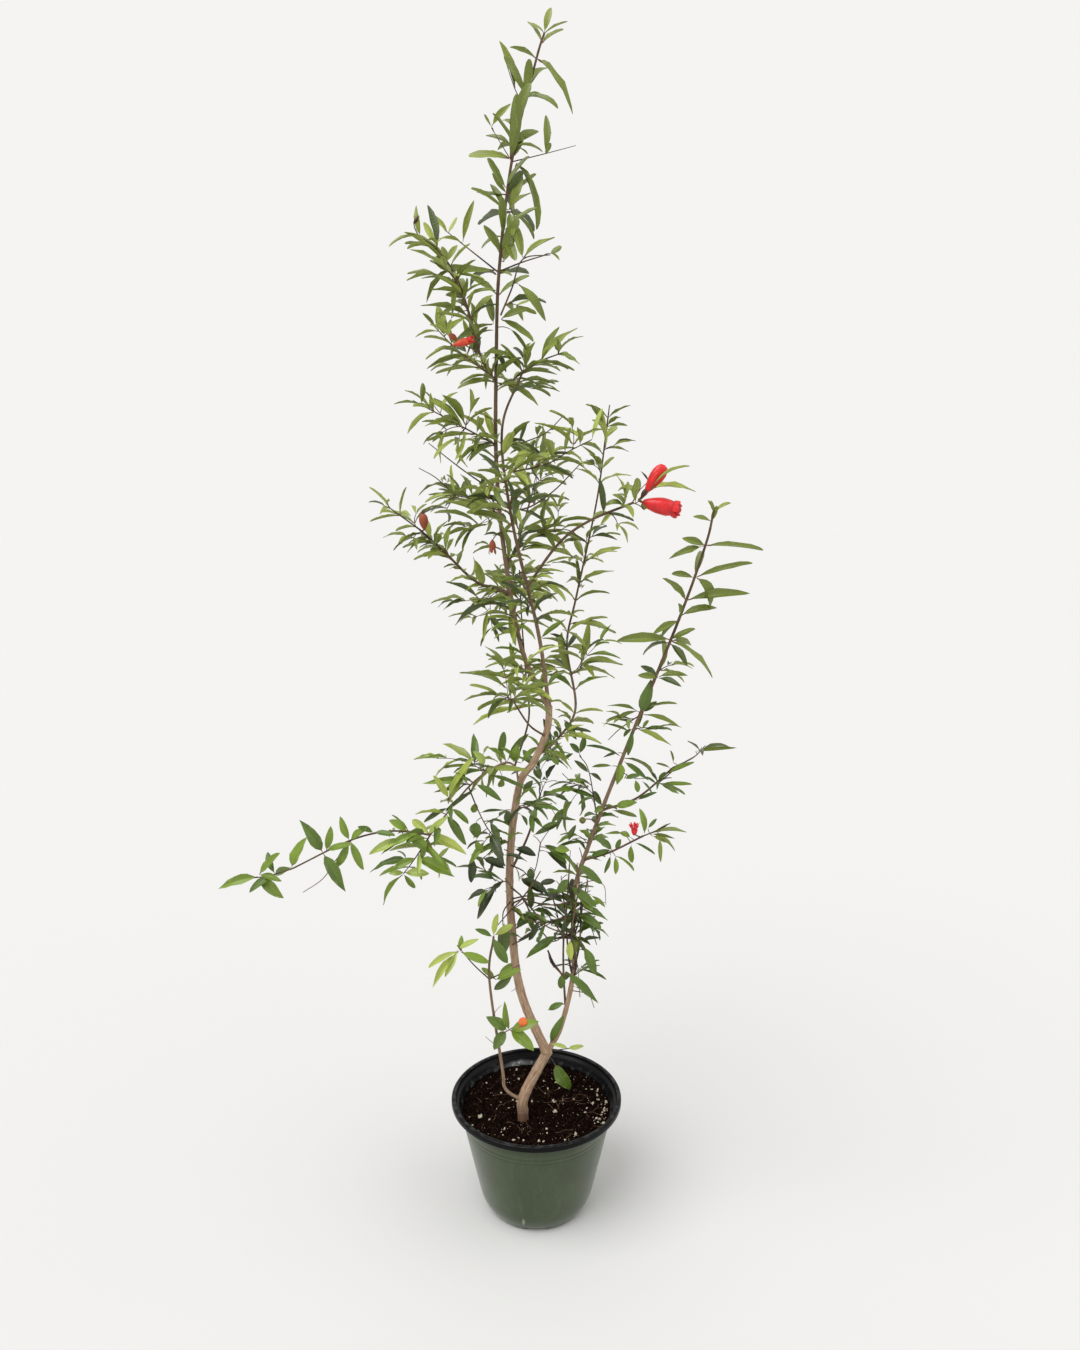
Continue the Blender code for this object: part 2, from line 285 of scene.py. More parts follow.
# %% The skin over rings
class Skin:
    """Closed bodies made from rings of points, in millimetres, that become one mesh."""

    def __init__(self):
        self.points = []
        self.faces = []
        self.maps = []
        self.finishes = []
        self.marks = []

    def add_ring(self, ring, mark):
        """Notes a ring's points and says where they start."""
        first = len(self.points)
        self.points += ring
        self.marks += [mark] * len(ring)
        return first

    def add_face(self, corners, uv, slot):
        """Notes a face, its place on the map and its finish."""
        self.faces.append(corners)
        self.maps += uv
        self.finishes.append(slot)

    def body(self, start, rings, end, lengths=None, marks=None, slots=None):
        """Joins the start point, the rings and the end point into one closed body."""
        sides = len(rings[0])
        count = len(rings)
        lengths = lengths or [i / count for i in range(count)]
        marks = marks or [0.0] * count
        slots = slots or [0] * (count + 1)
        firsts = [self.add_ring(ring, mark) for ring, mark in zip(rings, marks)]
        low = self.add_ring([start], marks[0])
        high = self.add_ring([end], marks[-1])
        for j in range(sides):
            k = (j + 1) % sides
            left = j / sides
            right = (j + 1) / sides
            self.add_face(
                (low, firsts[0] + k, firsts[0] + j),
                [(left, 0.0), (right, lengths[0]), (left, lengths[0])],
                slots[0],
            )
            for i in range(count - 1):
                a, b = firsts[i : i + 2]
                near, far = lengths[i : i + 2]
                self.add_face(
                    (a + j, a + k, b + k, b + j),
                    [(left, near), (right, near), (right, far), (left, far)],
                    slots[i + 1],
                )
            self.add_face(
                (high, firsts[-1] + j, firsts[-1] + k),
                [(left, lengths[-1]), (left, lengths[-1]), (right, lengths[-1])],
                slots[-1],
            )

    def mesh(self, name, materials):
        """One mesh of all the bodies noted so far."""
        made = bpy.data.meshes.new(name)
        made.from_pydata([point * MM for point in self.points], [], self.faces)
        set_map(made, self.maps)
        mark = made.attributes.new("mark", "FLOAT", "POINT")
        mark.data.foreach_set("value", self.marks)
        for material in materials:
            made.materials.append(material)
        made.polygons.foreach_set("material_index", self.finishes)
        face_out(made)
        return made


# %% Pieces and profiles
def place_piece(name, mesh, replaced):
    """Shows a mesh as a piece of the plant that stands for the CAD nodes named."""
    mesh.name = name
    piece = bpy.data.objects.new(name, mesh)
    bpy.context.scene.collection.objects.link(piece)
    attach(piece, "root")
    if replaced:
        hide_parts(*replaced)
    print(name, len(mesh.polygons), "faces")
    return piece


def circle(radius, height, sides):
    """A level ring of points round the pot's middle."""
    turns = [2 * math.pi * j / sides for j in range(sides)]
    return [Vector((radius * math.cos(t), radius * math.sin(t), height)) for t in turns]


def arc(centre, radius, start, stop, steps):
    """Points of a profile on an arc, as radius and height, with angles in degrees."""
    angles = [math.radians(start + (stop - start) * i / steps) for i in range(steps + 1)]
    return [(centre[0] + radius * math.cos(a), centre[1] + radius * math.sin(a)) for a in angles]


# %% [markdown]
# ## The nursery pot
# The pot is thin moulded plastic in two colours: green outside, black inside and on the rolled rim.
# Its shape is turned, so it is a profile of radii and heights with a ring of points at each. Six
# drain notches lift the foot's edge, and two faint mould lines run round the wall under the rim.

# %% Pot shape
RIM_RADIUS = 82.5
RIM_TOP = 111.0
RIM_BASE = 105.5
LIP_RADIUS = 78.0
UNDER_RIM_RADIUS = 75.2
KNEE_RADIUS = 54.0
KNEE_HEIGHT = 10.0
FOOT_RADIUS = 47.0
WALL = 1.2
POT_FLOOR = 6.0
NOTCHES = 6
NOTCH_WIDTH = 19.0
NOTCH_HEIGHT = 4.2
NOTCH_DEPTH = 7.0
POT_SIDES = 192
MOULD_LINES = (91.0, 86.5)
MOULD_LINE_DEPTH = 0.13
LEDGE_HEIGHT = 101.0


def wall_radius(height):
    """The outside of the pot's wall above its knee."""
    share = (height - KNEE_HEIGHT) / (RIM_BASE - KNEE_HEIGHT)
    return KNEE_RADIUS + (UNDER_RIM_RADIUS - KNEE_RADIUS) * share


outside = [(14, 0), (30, 0), (FOOT_RADIUS - NOTCH_DEPTH, 0), (FOOT_RADIUS - NOTCH_DEPTH + 0.2, 0)]
outside += [(FOOT_RADIUS - 0.4, 0), (FOOT_RADIUS + 0.5, 0.4), (FOOT_RADIUS + 2.4, NOTCH_HEIGHT)]
outside += [(50.9, 6.4), (52.2, 8.6), (53.6, 11.4), (54.9, 15)]
for height in range(20, 85, 8):
    outside.append((wall_radius(height), height))
for line in MOULD_LINES[::-1]:
    for drop, depth in ((-1.0, 0), (-0.4, MOULD_LINE_DEPTH), (0.4, MOULD_LINE_DEPTH), (1.0, 0)):
        outside.append((wall_radius(line + drop) - depth, line + drop))
outside += [(wall_radius(96), 96), (wall_radius(102), 102), (UNDER_RIM_RADIUS, RIM_BASE - 0.5)]
rim_start = len(outside)
rim = [(UNDER_RIM_RADIUS + 0.5, RIM_BASE - 0.1), (79.4, RIM_BASE)]
rim += arc((RIM_RADIUS - 1.0, RIM_BASE + 1.0), 1.0, -90, 0, 3)
rim += arc((RIM_RADIUS - 1.7, RIM_TOP - 1.7), 1.7, 0, 90, 4)
rim += arc((LIP_RADIUS + 1.4, RIM_TOP - 1.4), 1.4, 90, 180, 4)
rim += [(LIP_RADIUS, RIM_BASE + 2.4), (LIP_RADIUS - 0.9, RIM_BASE + 1.5), (75.4, RIM_BASE + 0.9)]
ledge = wall_radius(LEDGE_HEIGHT) - WALL
rim += [(74.9, RIM_BASE), (wall_radius(103) - WALL + 0.1, 103), (ledge, LEDGE_HEIGHT)]
rim += [(ledge - 0.8, LEDGE_HEIGHT - 0.8), (wall_radius(97) - WALL - 0.3, 97)]
rim += [(wall_radius(z) - WALL, z) for z in (94, 70, 40, 12)]
rim += [(FOOT_RADIUS + 2.4, 8), (FOOT_RADIUS, POT_FLOOR), (20, POT_FLOOR)]
print("places on the pot's profile", len(outside) + len(rim))


# %% Drain notches and the pot's skin
def in_notch(turn):
    """Whether a turn round the pot is inside one of the notches."""
    pitch = 2 * math.pi / NOTCHES
    off = abs((turn / pitch) % 1.0 - 0.5) * pitch
    return off * FOOT_RADIUS < NOTCH_WIDTH / 2


rings = []
for index, (radius, height) in enumerate(outside + rim):
    ring = circle(radius, height, POT_SIDES)
    if index < rim_start and radius > FOOT_RADIUS - NOTCH_DEPTH and height < NOTCH_HEIGHT:
        for j, point in enumerate(ring):
            if in_notch(2 * math.pi * j / POT_SIDES):
                point.z = NOTCH_HEIGHT
    rings.append(ring)
pot_skin = Skin()
slots = [0 if i < rim_start else 1 for i in range(len(rings) + 1)]
lengths = [point[1] / RIM_TOP for point in outside + rim]
pot_skin.body(Vector((0, 0, 0)), rings, Vector((0, 0, POT_FLOOR)), lengths=lengths, slots=slots)
print("pot rings", len(rings))

# %% [markdown]
# ## Moulded plastic
# Green plastic that has been through a nursery isn't even: it has soft clouds of dust and water
# marks, fine upright scuffs and a slight orange-peel relief. The black inside shows chalky lime
# above the soil. Both are noise patterns, drawn out along the wall for the scuffs.

# %% Green plastic
SCUFF_PLACE = Vector((-12.0, -53.5, 13.0))
SCUFF_SQUEEZE = (600, 100, 190)

green, tree, shader, where = finish("green_plastic", 0.5, 0.25)
clouds = rescale(tree, grain(tree, where, 22, 4), 0.35, 0.7)
dust = rescale(tree, grain(tree, stretch(tree, where, (60, 60, 14)), 3.0, 5, 0.65), 0.52, 0.78)
colour = mix(tree, clouds, rgb(48, 61, 36), rgb(60, 74, 46))
colour = lay_over(tree, colour, dust, 0.22, rgb(112, 122, 100))
far = patch_reach(tree, where, SCUFF_PLACE, SCUFF_SQUEEZE)
scuff = reckon(tree, "MULTIPLY", rescale(tree, far, 0.4, 1.1, 1.0, 0.0), grain(tree, where, 900, 2))
colour = mix(tree, scuff, colour, rgb(176, 186, 150))
peel = relief(tree, grain(tree, where, 900, 2), 0.00012, 0.5)
feed(tree, shader, colour, peel, rescale(tree, dust, 0, 1, 0.36, 0.6))
shader.inputs["Sheen Weight"].default_value = 0.28
shader.inputs["Sheen Roughness"].default_value = 0.4

# %% Black plastic
LIME_PLACE = Vector((-19.0, 70.0, 98.5))
LIME_SQUEEZE = (55, 40, 210)

black, tree, shader, where = finish("black_plastic", 0.3, 0.12)
height = add(tree, "ShaderNodeSeparateXYZ", {0: where}).outputs["Z"]
band = rescale(tree, height, 0.0985, 0.0945, 0.0, 1.0)
splash = rescale(tree, grain(tree, where, 130, 5, 0.7), 0.52, 0.72)
spots = rescale(tree, grain(tree, where, 600, 3, 0.6), 0.62, 0.72)
chalk = reckon(tree, "MULTIPLY", rescale(tree, height, 0.1065, 0.096, 0.0, 0.75), splash)
scratch = rescale(tree, grain(tree, stretch(tree, where, (40, 40, 900)), 3.0, 3), 0.6, 0.8, 0.0, 0.25)
colour = mix(tree, scratch, rgb(8, 8, 9), rgb(27, 27, 29))
# painted highlight: a faint lighter line along the top edge of the rim, broken up by noise
highlight_breakup = rescale(tree, grain(tree, where, 160, 4), 0.45, 0.62)
rim_highlight = reckon(tree, "MULTIPLY", rescale(tree, height, 0.1100, 0.1110), highlight_breakup)
colour = lay_over(tree, colour, rim_highlight, 0.14, rgb(120, 122, 126))
colour = mix(tree, chalk, colour, rgb(118, 118, 118))
colour = mix(tree, reckon(tree, "MULTIPLY", band, spots), colour, rgb(150, 146, 140))
far = patch_reach(tree, where, LIME_PLACE, LIME_SQUEEZE)
broken = rescale(tree, splash, 0.0, 0.6, 0.25, 1.0)
lime = reckon(tree, "MULTIPLY", rescale(tree, far, 0.5, 1.1, 1.0, 0.0), broken)
colour = mix(tree, lime, colour, rgb(168, 170, 170))
peel = relief(tree, grain(tree, where, 500, 3), 0.0002, 0.5)
feed(tree, shader, colour, peel, rescale(tree, chalk, 0, 0.5, 0.3, 0.75))

place_piece("nursery_pot", pot_skin.mesh("nursery_pot", [green, black]), ["pot"])

# %% [markdown]
# ## Potting soil
# The soil is peat with bark crumbs, white grains of perlite and thin roots. Its body is one closed
# skin with an uneven top that rises a little round the trunk's foot and at the wall.

# %% Soil body
SOIL_TOP = 95.0
SOIL_SIDES = 150
SOIL_RINGS = 46
SOIL_WAVES = ((1.3, 15), (0.9, 6), (0.5, 2.6))
TRUNK_FOOT = Vector((-13, -20, 0))


def soil_height(x, y):
    """The uneven top of the soil."""
    spot = Vector((x, y, 0))
    height = SOIL_TOP
    for lift, length in SOIL_WAVES:
        height += lift * noise.noise(spot / length)
    near = (spot - TRUNK_FOOT).length
    height += 1.8 * math.exp(-((near / 13) ** 2))
    return height + 2.4 * max(0.0, (spot.length - 61) / 10) ** 2


soil_radius = wall_radius(SOIL_TOP + 3) - WALL - 0.2
rings = [circle(r, POT_FLOOR + 0.3, SOIL_SIDES) for r in (16, 32, 49.5)]
rings += [circle(wall_radius(z) - WALL - 0.3, z, SOIL_SIDES) for z in (12, 40, 70, SOIL_TOP - 3)]
for i in range(SOIL_RINGS):
    ring = circle(soil_radius * (1 - i / SOIL_RINGS), 0.0, SOIL_SIDES)
    for point in ring:
        point.z = soil_height(point.x, point.y)
    rings.append(ring)
middle = Vector((0, 0, soil_height(0, 0)))
soil_skin = Skin()
soil_skin.body(Vector((0, 0, POT_FLOOR + 0.3)), rings, middle)

peat, tree, shader, where = finish("peat", 1.0, 0.0)
colour = mix(tree, rescale(tree, grain(tree, where, 260, 4, 0.7), 0.35, 0.7), rgb(7, 4, 4), rgb(27, 17, 13))
feed(tree, shader, colour, relief(tree, grain(tree, where, 700, 5, 0.7), 0.001, 0.9))
place_piece("potting_soil", soil_skin.mesh("potting_soil", [peat]), ["soil"])

# %% [markdown]
# ## Setting out copies with Geometry Nodes
# Leaves, grains and crumbs all repeat a few shapes many times. One node tree serves them all: its
# input is a cloud of points, and each point carries which shape it takes (kind), how it is turned
# (turn) and how large it is (size). The copies are made real at the end, so that the piece is a
# plain mesh.

# %% The set-out tree
def tree_of(name, sockets):
    """A Geometry Nodes tree with named inputs and its two end nodes."""
    made = bpy.data.node_groups.new(name, "GeometryNodeTree")
    made.interface.new_socket("Geometry", in_out="INPUT", socket_type="NodeSocketGeometry")
    for label, kind in sockets:
        made.interface.new_socket(label, in_out="INPUT", socket_type=kind)
    made.interface.new_socket("Geometry", in_out="OUTPUT", socket_type="NodeSocketGeometry")
    return made, add(made, "NodeGroupInput"), add(made, "NodeGroupOutput")


def named(tree, name, kind):
    """A value that each point carries under a name."""
    return add(tree, "GeometryNodeInputNamedAttribute", {"Name": name}, data_type=kind).outputs["Attribute"]


def end_tree(tree, geometry, group_in, group_out):
    """The end of every tree: the copies made real, the finish set, and the way out."""
    real = add(tree, "GeometryNodeRealizeInstances", {"Geometry": geometry})
    coated = add(
        tree,
        "GeometryNodeSetMaterial",
        {"Geometry": real.outputs[0], "Material": group_in.outputs["Finish"]},
    )
    tree.links.new(coated.outputs[0], group_out.inputs[0])
    print(tree.name, "has", len(tree.nodes), "nodes")


set_out, group_in, group_out = tree_of(
    "set_out_copies", (("Kinds", "NodeSocketCollection"), ("Finish", "NodeSocketMaterial"))
)
kinds = add(
    set_out,
    "GeometryNodeCollectionInfo",
    {"Collection": group_in.outputs["Kinds"], "Separate Children": True, "Reset Children": True},
)
copies = add(
    set_out,
    "GeometryNodeInstanceOnPoints",
    {
        "Points": group_in.outputs["Geometry"],
        "Instance": kinds.outputs[0],
        "Pick Instance": True,
        "Instance Index": named(set_out, "kind", "INT"),
        "Rotation": named(set_out, "turn", "QUATERNION"),
        "Scale": named(set_out, "size", "FLOAT_VECTOR"),
    },
)
end_tree(set_out, copies.outputs[0], group_in, group_out)

# %% [markdown]
# ## Drawing thin tubes
# Twigs, leaf stalks and roots are too thin and too many to loft by hand. Their lines are edges of
# one mesh with a thickness at each point, and a second tree draws a round tube along them.

# %% The tube tree
tubes, group_in, group_out = tree_of(
    "draw_tubes", (("Sides", "NodeSocketInt"), ("Finish", "NodeSocketMaterial"))
)
lines = add(tubes, "GeometryNodeMeshToCurve", {"Mesh": group_in.outputs["Geometry"]})
round_end = add(
    tubes,
    "GeometryNodeCurvePrimitiveCircle",
    {"Resolution": group_in.outputs["Sides"], "Radius": 1.0},
)
drawn = add(
    tubes,
    "GeometryNodeCurveToMesh",
    {
        "Curve": lines.outputs[0],
        "Profile Curve": round_end.outputs[0],
        "Scale": named(tubes, "thick", "FLOAT"),
        "Fill Caps": True,
    },
)
end_tree(tubes, drawn.outputs[0], group_in, group_out)


# %% Plain meshes from the trees
def grown(mesh, tree, settings):
    """The plain mesh that a node tree makes from a mesh, with its inputs set by name."""
    holder = bpy.data.objects.new("holder", mesh)
    bpy.context.scene.collection.objects.link(holder)
    step = holder.modifiers.new("grow", "NODES")
    step.node_group = tree
    for item in tree.interface.items_tree:
        if item.in_out == "INPUT" and item.name in settings:
            step[item.identifier] = settings[item.name]
    bpy.context.view_layer.update()
    seen = holder.evaluated_get(bpy.context.evaluated_depsgraph_get())
    made = bpy.data.meshes.new_from_object(seen)
    holder.modifiers.clear()
    bpy.data.objects.remove(holder, do_unlink=True)
    return made


def collection_of(name, meshes):
    """A hidden collection with one object for each mesh, in order."""
    made = bpy.data.collections.new(name)
    for i, mesh in enumerate(meshes):
        made.objects.link(bpy.data.objects.new(f"{name}_{i:02d}", mesh))
    return made


def put_away(collection):
    """Removes a collection with its objects."""
    for thing in list(collection.objects):
        bpy.data.objects.remove(thing, do_unlink=True)
    bpy.data.collections.remove(collection)


def copies_of(name, spots, kinds, material):
    """Copies set out on spots: (place, turn, size, kind), with places and sizes in millimetres."""
    cloud = bpy.data.meshes.new(name)
    cloud.from_pydata([spot[0] * MM for spot in spots], [], [])
    turn = cloud.attributes.new("turn", "QUATERNION", "POINT")
    turn.data.foreach_set("value", [value for spot in spots for value in spot[1]])
    size = cloud.attributes.new("size", "FLOAT_VECTOR", "POINT")
    size.data.foreach_set("vector", [value * MM for spot in spots for value in spot[2]])
    kind = cloud.attributes.new("kind", "INT", "POINT")
    kind.data.foreach_set("value", [spot[3] for spot in spots])
    return grown(cloud, set_out, {"Kinds": kinds, "Finish": material})


def tubes_of(name, lines, sides, material):
    """Round tubes along lines, each a list of places and radii in millimetres."""
    points = []
    edges = []
    for line in lines:
        first = len(points)
        points += line
        edges += [(first + i, first + i + 1) for i in range(len(line) - 1)]
    wire = bpy.data.meshes.new(name)
    wire.from_pydata([place * MM for place, _ in points], edges, [])
    thick = wire.attributes.new("thick", "FLOAT", "POINT")
    thick.data.foreach_set("value", [radius * MM for _, radius in points])
    made = grown(wire, tubes, {"Sides": sides, "Finish": material})
    made.shade_smooth()
    return made


# %% [markdown]
# ## Perlite, crumbs and roots
# A rough lump is an icosphere whose points are pushed in and out by noise. A few lumps of different
# shape, turned and scaled at random, pass for hundreds. The perlite has drifted to the right edge
# and lies in a short row at the front, as it does after watering.

# %% Grains on the soil
LUMP_KINDS = 5
PERLITE_COUNT = 250
DRIFT_COUNT = 40
CRUMB_COUNT = 1700
FRONT_ROW_COUNT = 22
PERLITE_SIZES = (0.5, 0.6, 0.7, 0.9, 1.3, 2.0)
LARGE_GRAIN = 1.8
GRAIN_STRETCH = ((0.8, 1.3), (0.8, 1.2), (0.6, 0.9))
SOIL_SPREAD = 70
EDGE = 69.5
# the largest white grains, each with its size
LARGE_GRAINS = (
    (17, 11, 4.2),
    (18, -6, 3.6),
    (37, -40, 3.8),
    (-21, -49, 3.6),
    (-54, -14, 4.2),
    (-19, 10, 3.2),
)


def lump_mesh(seed, roughness, finer):
    """A small rough lump of unit size."""
    ball = bmesh.new()
    bmesh.ops.create_icosphere(ball, subdivisions=2 if finer else 1, radius=0.5)
    for spot in ball.verts:
        spot.co *= 1 + roughness * noise.noise(spot.co * 3.1 + Vector((seed * 5.3, 0, 0)))
    made = bpy.data.meshes.new(f"lump_{seed}")
    ball.to_mesh(made)
    ball.free()
    made.shade_smooth()
    return made


def random_turn(draw):
    """A rotation in any direction."""
    axis = Vector((draw.gauss(0, 1), draw.gauss(0, 1), draw.gauss(0, 1))).normalized()
    return Matrix.Rotation(draw.uniform(0, 2 * math.pi), 3, axis).to_quaternion()


def grain_spot(draw, x, y, size):
    """A lump half sunk into the soil at x and y."""
    shape = Vector([size * draw.uniform(low, high) for low, high in GRAIN_STRETCH])
    place = Vector((x, y, soil_height(x, y) + size * 0.12))
    number = draw.randrange(LUMP_KINDS) + (LUMP_KINDS if size > LARGE_GRAIN else 0)
    return (place, random_turn(draw), shape, number)


def anywhere(draw, radius):
    """A random place on a disc."""
    turn = draw.uniform(0, 2 * math.pi)
    return on_circle(turn, radius * math.sqrt(draw.random()))


def on_circle(turn, out):
    """The place at a turn and a distance from the pot's middle."""
    return out * math.cos(turn), out * math.sin(turn)


# %% Set the grains out
draw = random.Random(11)
lumps = collection_of("lump", [lump_mesh(i, 0.9, i >= LUMP_KINDS) for i in range(2 * LUMP_KINDS)])
perlite = []
for i in range(PERLITE_COUNT):
    perlite.append(grain_spot(draw, *anywhere(draw, SOIL_SPREAD), draw.choice(PERLITE_SIZES)))
for i in range(DRIFT_COUNT):
    turn = math.radians(draw.gauss(2, 21))
    place = on_circle(turn, EDGE - abs(draw.gauss(0, 6)))
    perlite.append(grain_spot(draw, *place, draw.uniform(0.8, 3.0)))
for i in range(FRONT_ROW_COUNT):
    turn = math.radians(draw.gauss(-84, 15))
    place = on_circle(turn, draw.uniform(62, EDGE))
    perlite.append(grain_spot(draw, *place, draw.uniform(0.9, 2.0)))
for x, y, size in LARGE_GRAINS:
    perlite.append(grain_spot(draw, x, y, size))
crumbs = [
    grain_spot(draw, *anywhere(draw, SOIL_SPREAD), draw.uniform(0.7, 2.7)) for i in range(CRUMB_COUNT)
]
print("white grains", len(perlite), "and crumbs", len(crumbs))

# %% Finishes of the grains
white, tree, shader, where = finish("perlite", 0.9, 0.1)
colour = mix(tree, grain(tree, where, 420, 3), rgb(142, 128, 104), rgb(222, 214, 194))
feed(tree, shader, colour, relief(tree, grain(tree, where, 1600, 3), 0.0003, 0.7))
brown, tree, shader, where = finish("bark_crumbs", 0.95, 0.04)
colour = mix(tree, rescale(tree, grain(tree, where, 190, 3), 0.35, 0.7), rgb(9, 5, 4), rgb(52, 34, 25))
feed(tree, shader, colour, relief(tree, grain(tree, where, 1300, 4), 0.0005, 0.8))
place_piece("perlite_grains", copies_of("perlite", perlite, lumps, white), [])
place_piece("bark_crumbs", copies_of("crumbs", crumbs, lumps, brown), [])
put_away(lumps)

# %% Rootlets
ROOTLETS = 24
ROOT_STEP = 1.6

draw = random.Random(23)
roots = []
for i in range(ROOTLETS):
    x, y = anywhere(draw, 62)
    heading = draw.uniform(0, 2 * math.pi)
    line = []
    for k in range(draw.randrange(8, 20)):
        if math.hypot(x, y) > 68:
            break
        lift = 0.5 + 1.2 * max(0.0, noise.noise(Vector((x, y, i)) / 7))
        line.append((Vector((x, y, soil_height(x, y) + lift)), draw.uniform(0.12, 0.22)))
        heading += draw.gauss(0, 0.3)
        x += ROOT_STEP * math.cos(heading)
        y += ROOT_STEP * math.sin(heading)
    if len(line) > 4:
        roots.append(line)
pale, tree, shader, where = finish("rootlets", 0.8, 0.3)
feed(tree, shader, mix(tree, grain(tree, where, 130, 3), rgb(56, 36, 27), rgb(140, 108, 82)))
place_piece("rootlets", tubes_of("rootlets", roots, 5, pale), [])

# %% [markdown]
# ## The limbs
# Each limb is a tapering line through a few places, given as right, back and up from the middle of
# the pot's underside. It says which limb bears it and at what height, and its radius at the foot
# and at the tip. These are the same places as in the model, so the bark lies on the solids.

# %% Limb table
LIMBS = {
    "trunk": (
        (None, 0, 5.2, 4.6),
        (-13, -20, 95.3),
        (-13, -20, 105),
        (-13, -20, 117),
        (-4, -16, 136),
        (11, -10, 162),
    ),
    "main_stem": (
        ("trunk", 160, 4.3, 3.0),
        (-14, -4, 216),
        (-23, 5, 275),
        (-25, 10, 345),
        (-16, 7, 418),
        (-2, 2, 443),
        (10, -2, 474),
        (12, -3, 496),
    ),
    "leader": (
        ("main_stem", 494, 2.3, 0.9),
        (-13, 4, 548),
        (-29, 9, 638),
        (-35, 5, 715),
        (-34, -3, 800),
        (-31, -4, 872),
        (-20, 2, 960),
        (0, 6, 1038),
        (7, 8, 1060),
    ),
    "second_leader": (
        ("main_stem", 494, 1.9, 0.9),
        (2, -18, 565),
        (-20, -26, 660),
        (-29, -17, 738),
        (-12, -12, 786),
    ),
    "right_stem": (
        ("trunk", 158, 2.6, 1.0),
        (24, 0, 182),
        (36, 11, 235),
        (36, 20, 305),
        (51, 24, 357),
        (81, 20, 442),
        (128, 2, 573),
        (149, -8, 641),
        (155, -12, 672),
    ),
    "side_stem": (
        ("trunk", 116, 1.6, 1.0),
        (-29, -26, 132),
        (-32, -28, 155),
        (-43, -34, 247),
        (-39, -29, 286),
    ),
    "low_bough": (
        ("main_stem", 418, 1.7, 1.2),
        (-20, 4, 438),
        (-33, 0, 441),
        (-61, -10, 423),
        (-96, -22, 381),
    ),
    "arching_shoot": (
        ("low_bough", 381, 1.1, 0.9),
        (-131, -24, 385),
        (-168, -26, 377),
        (-220, -30, 352),
    ),
    "upper_left_bough": (("leader", 598, 1.4, 0.9), (-53, -4, 609), (-80, -18, 636), (-100, -25, 655)),
    "flower_bough": (("second_leader", 606, 1.3, 1.0), (19, -40, 643), (44, -50, 662), (80, -60, 677)),
    "inner_right_bough": (
        ("main_stem", 448, 1.6, 0.9),
        (20, 14, 462),
        (37, 28, 489),
        (29, 42, 546),
        (38, 46, 593),
        (56, 48, 679),
        (64, 46, 740),
    ),
    "right_low_bough": (("right_stem", 340, 1.1, 0.9), (69, 4, 355), (98, -14, 377)),
    "right_high_bough": (("right_stem", 390, 1.2, 0.9), (97, 34, 399), (133, 46, 426)),
    "high_left_bough": (("leader", 780, 1.1, 0.9), (-46, -10, 798), (-54, -22, 828), (-66, -30, 858)),
    "back_bough": (("leader", 622, 1.3, 0.9), (-16, 38, 646), (-4, 62, 688)),
    "back_low_bough": (("main_stem", 332, 1.3, 0.9), (-8, 38, 360), (4, 58, 396)),
    "front_bough": (("main_stem", 468, 1.3, 0.9), (-6, -28, 484), (-20, -48, 510)),
}
print("limbs", len(LIMBS))


# %% Lines of the limbs
def smooth_line(places, step):
    """Points about a step apart on a smooth line through the places."""
    spots = [Vector(p) for p in places]
    before = [spots[0] * 2 - spots[1]] + spots[:-1]
    after = spots[1:] + [spots[-1] * 2 - spots[-2]]
    points = []
    for i in range(len(spots) - 1):
        slope_in = (after[i] - before[i]) / 2
        slope_out = (after[i + 1] - before[i + 1]) / 2
        parts = max(2, round((spots[i + 1] - spots[i]).length / step))
        for k in range(parts):
            t = k / parts
            points.append(
                spots[i] * (2 * t**3 - 3 * t**2 + 1)
                + slope_in * (t**3 - 2 * t**2 + t)
                + spots[i + 1] * (3 * t**2 - 2 * t**3)
                + slope_out * (t**3 - t**2)
            )
    points.append(spots[-1])
    return points


def place_at(points, height):
    """The place on a line at a height, or its tip."""
    for low, high in zip(points, points[1:]):
        if min(low.z, high.z) <= height <= max(low.z, high.z) and low.z != high.z:
            return low.lerp(high, (height - low.z) / (high.z - low.z))
    return points[-1]


def distances(points):
    """How far along a line each of its points is."""
    total = [0.0]
    for a, b in zip(points, points[1:]):
        total.append(total[-1] + (b - a).length)
    return total


LINE_STEP = 1.3

limb_lines = {}
for name, ((bearer, height, _, _), *places) in LIMBS.items():
    if bearer:
        places = [place_at(limb_lines[bearer], height), *places]
    limb_lines[name] = smooth_line(places, LINE_STEP)
print("points on the limbs", sum(len(line) for line in limb_lines.values()))

# %% [markdown]
# ## Bark with its relief
# A pomegranate's stems are pale grey-brown with fine lengthwise cracks, small swellings where
# leaves and twigs left them, and a collar at the foot of each branch. The relief is in the mesh:
# noise that is drawn out along the stem lifts and sinks the skin. A mark from 1, old, to 0, young,
# goes with each ring, and the finish reads it to pass from rough bark to smooth green-red skin.

# %% Bark mesh
FLARE = 0.03
FLARE_FADE = 6.0
NODE_PITCH = 21.0
MAP_SCALE = 0.02
SLIM = {
    "low_bough": 0.6,
    "arching_shoot": 0.8,
    "inner_right_bough": 0.8,
    "back_bough": 0.8,
    "front_bough": 0.8,
}
# how old the bark is at the limb's foot and at its tip
AGE = {
    "trunk": (1.0, 0.9),
    "main_stem": (0.85, 0.6),
    "leader": (0.5, 0.0),
    "second_leader": (0.45, 0.05),
    "right_stem": (0.7, 0.05),
    "side_stem": (0.55, 0.2),
    "low_bough": (0.5, 0.25),
    "inner_right_bough": (0.4, 0.1),
}
YOUNG = (0.3, 0.05)


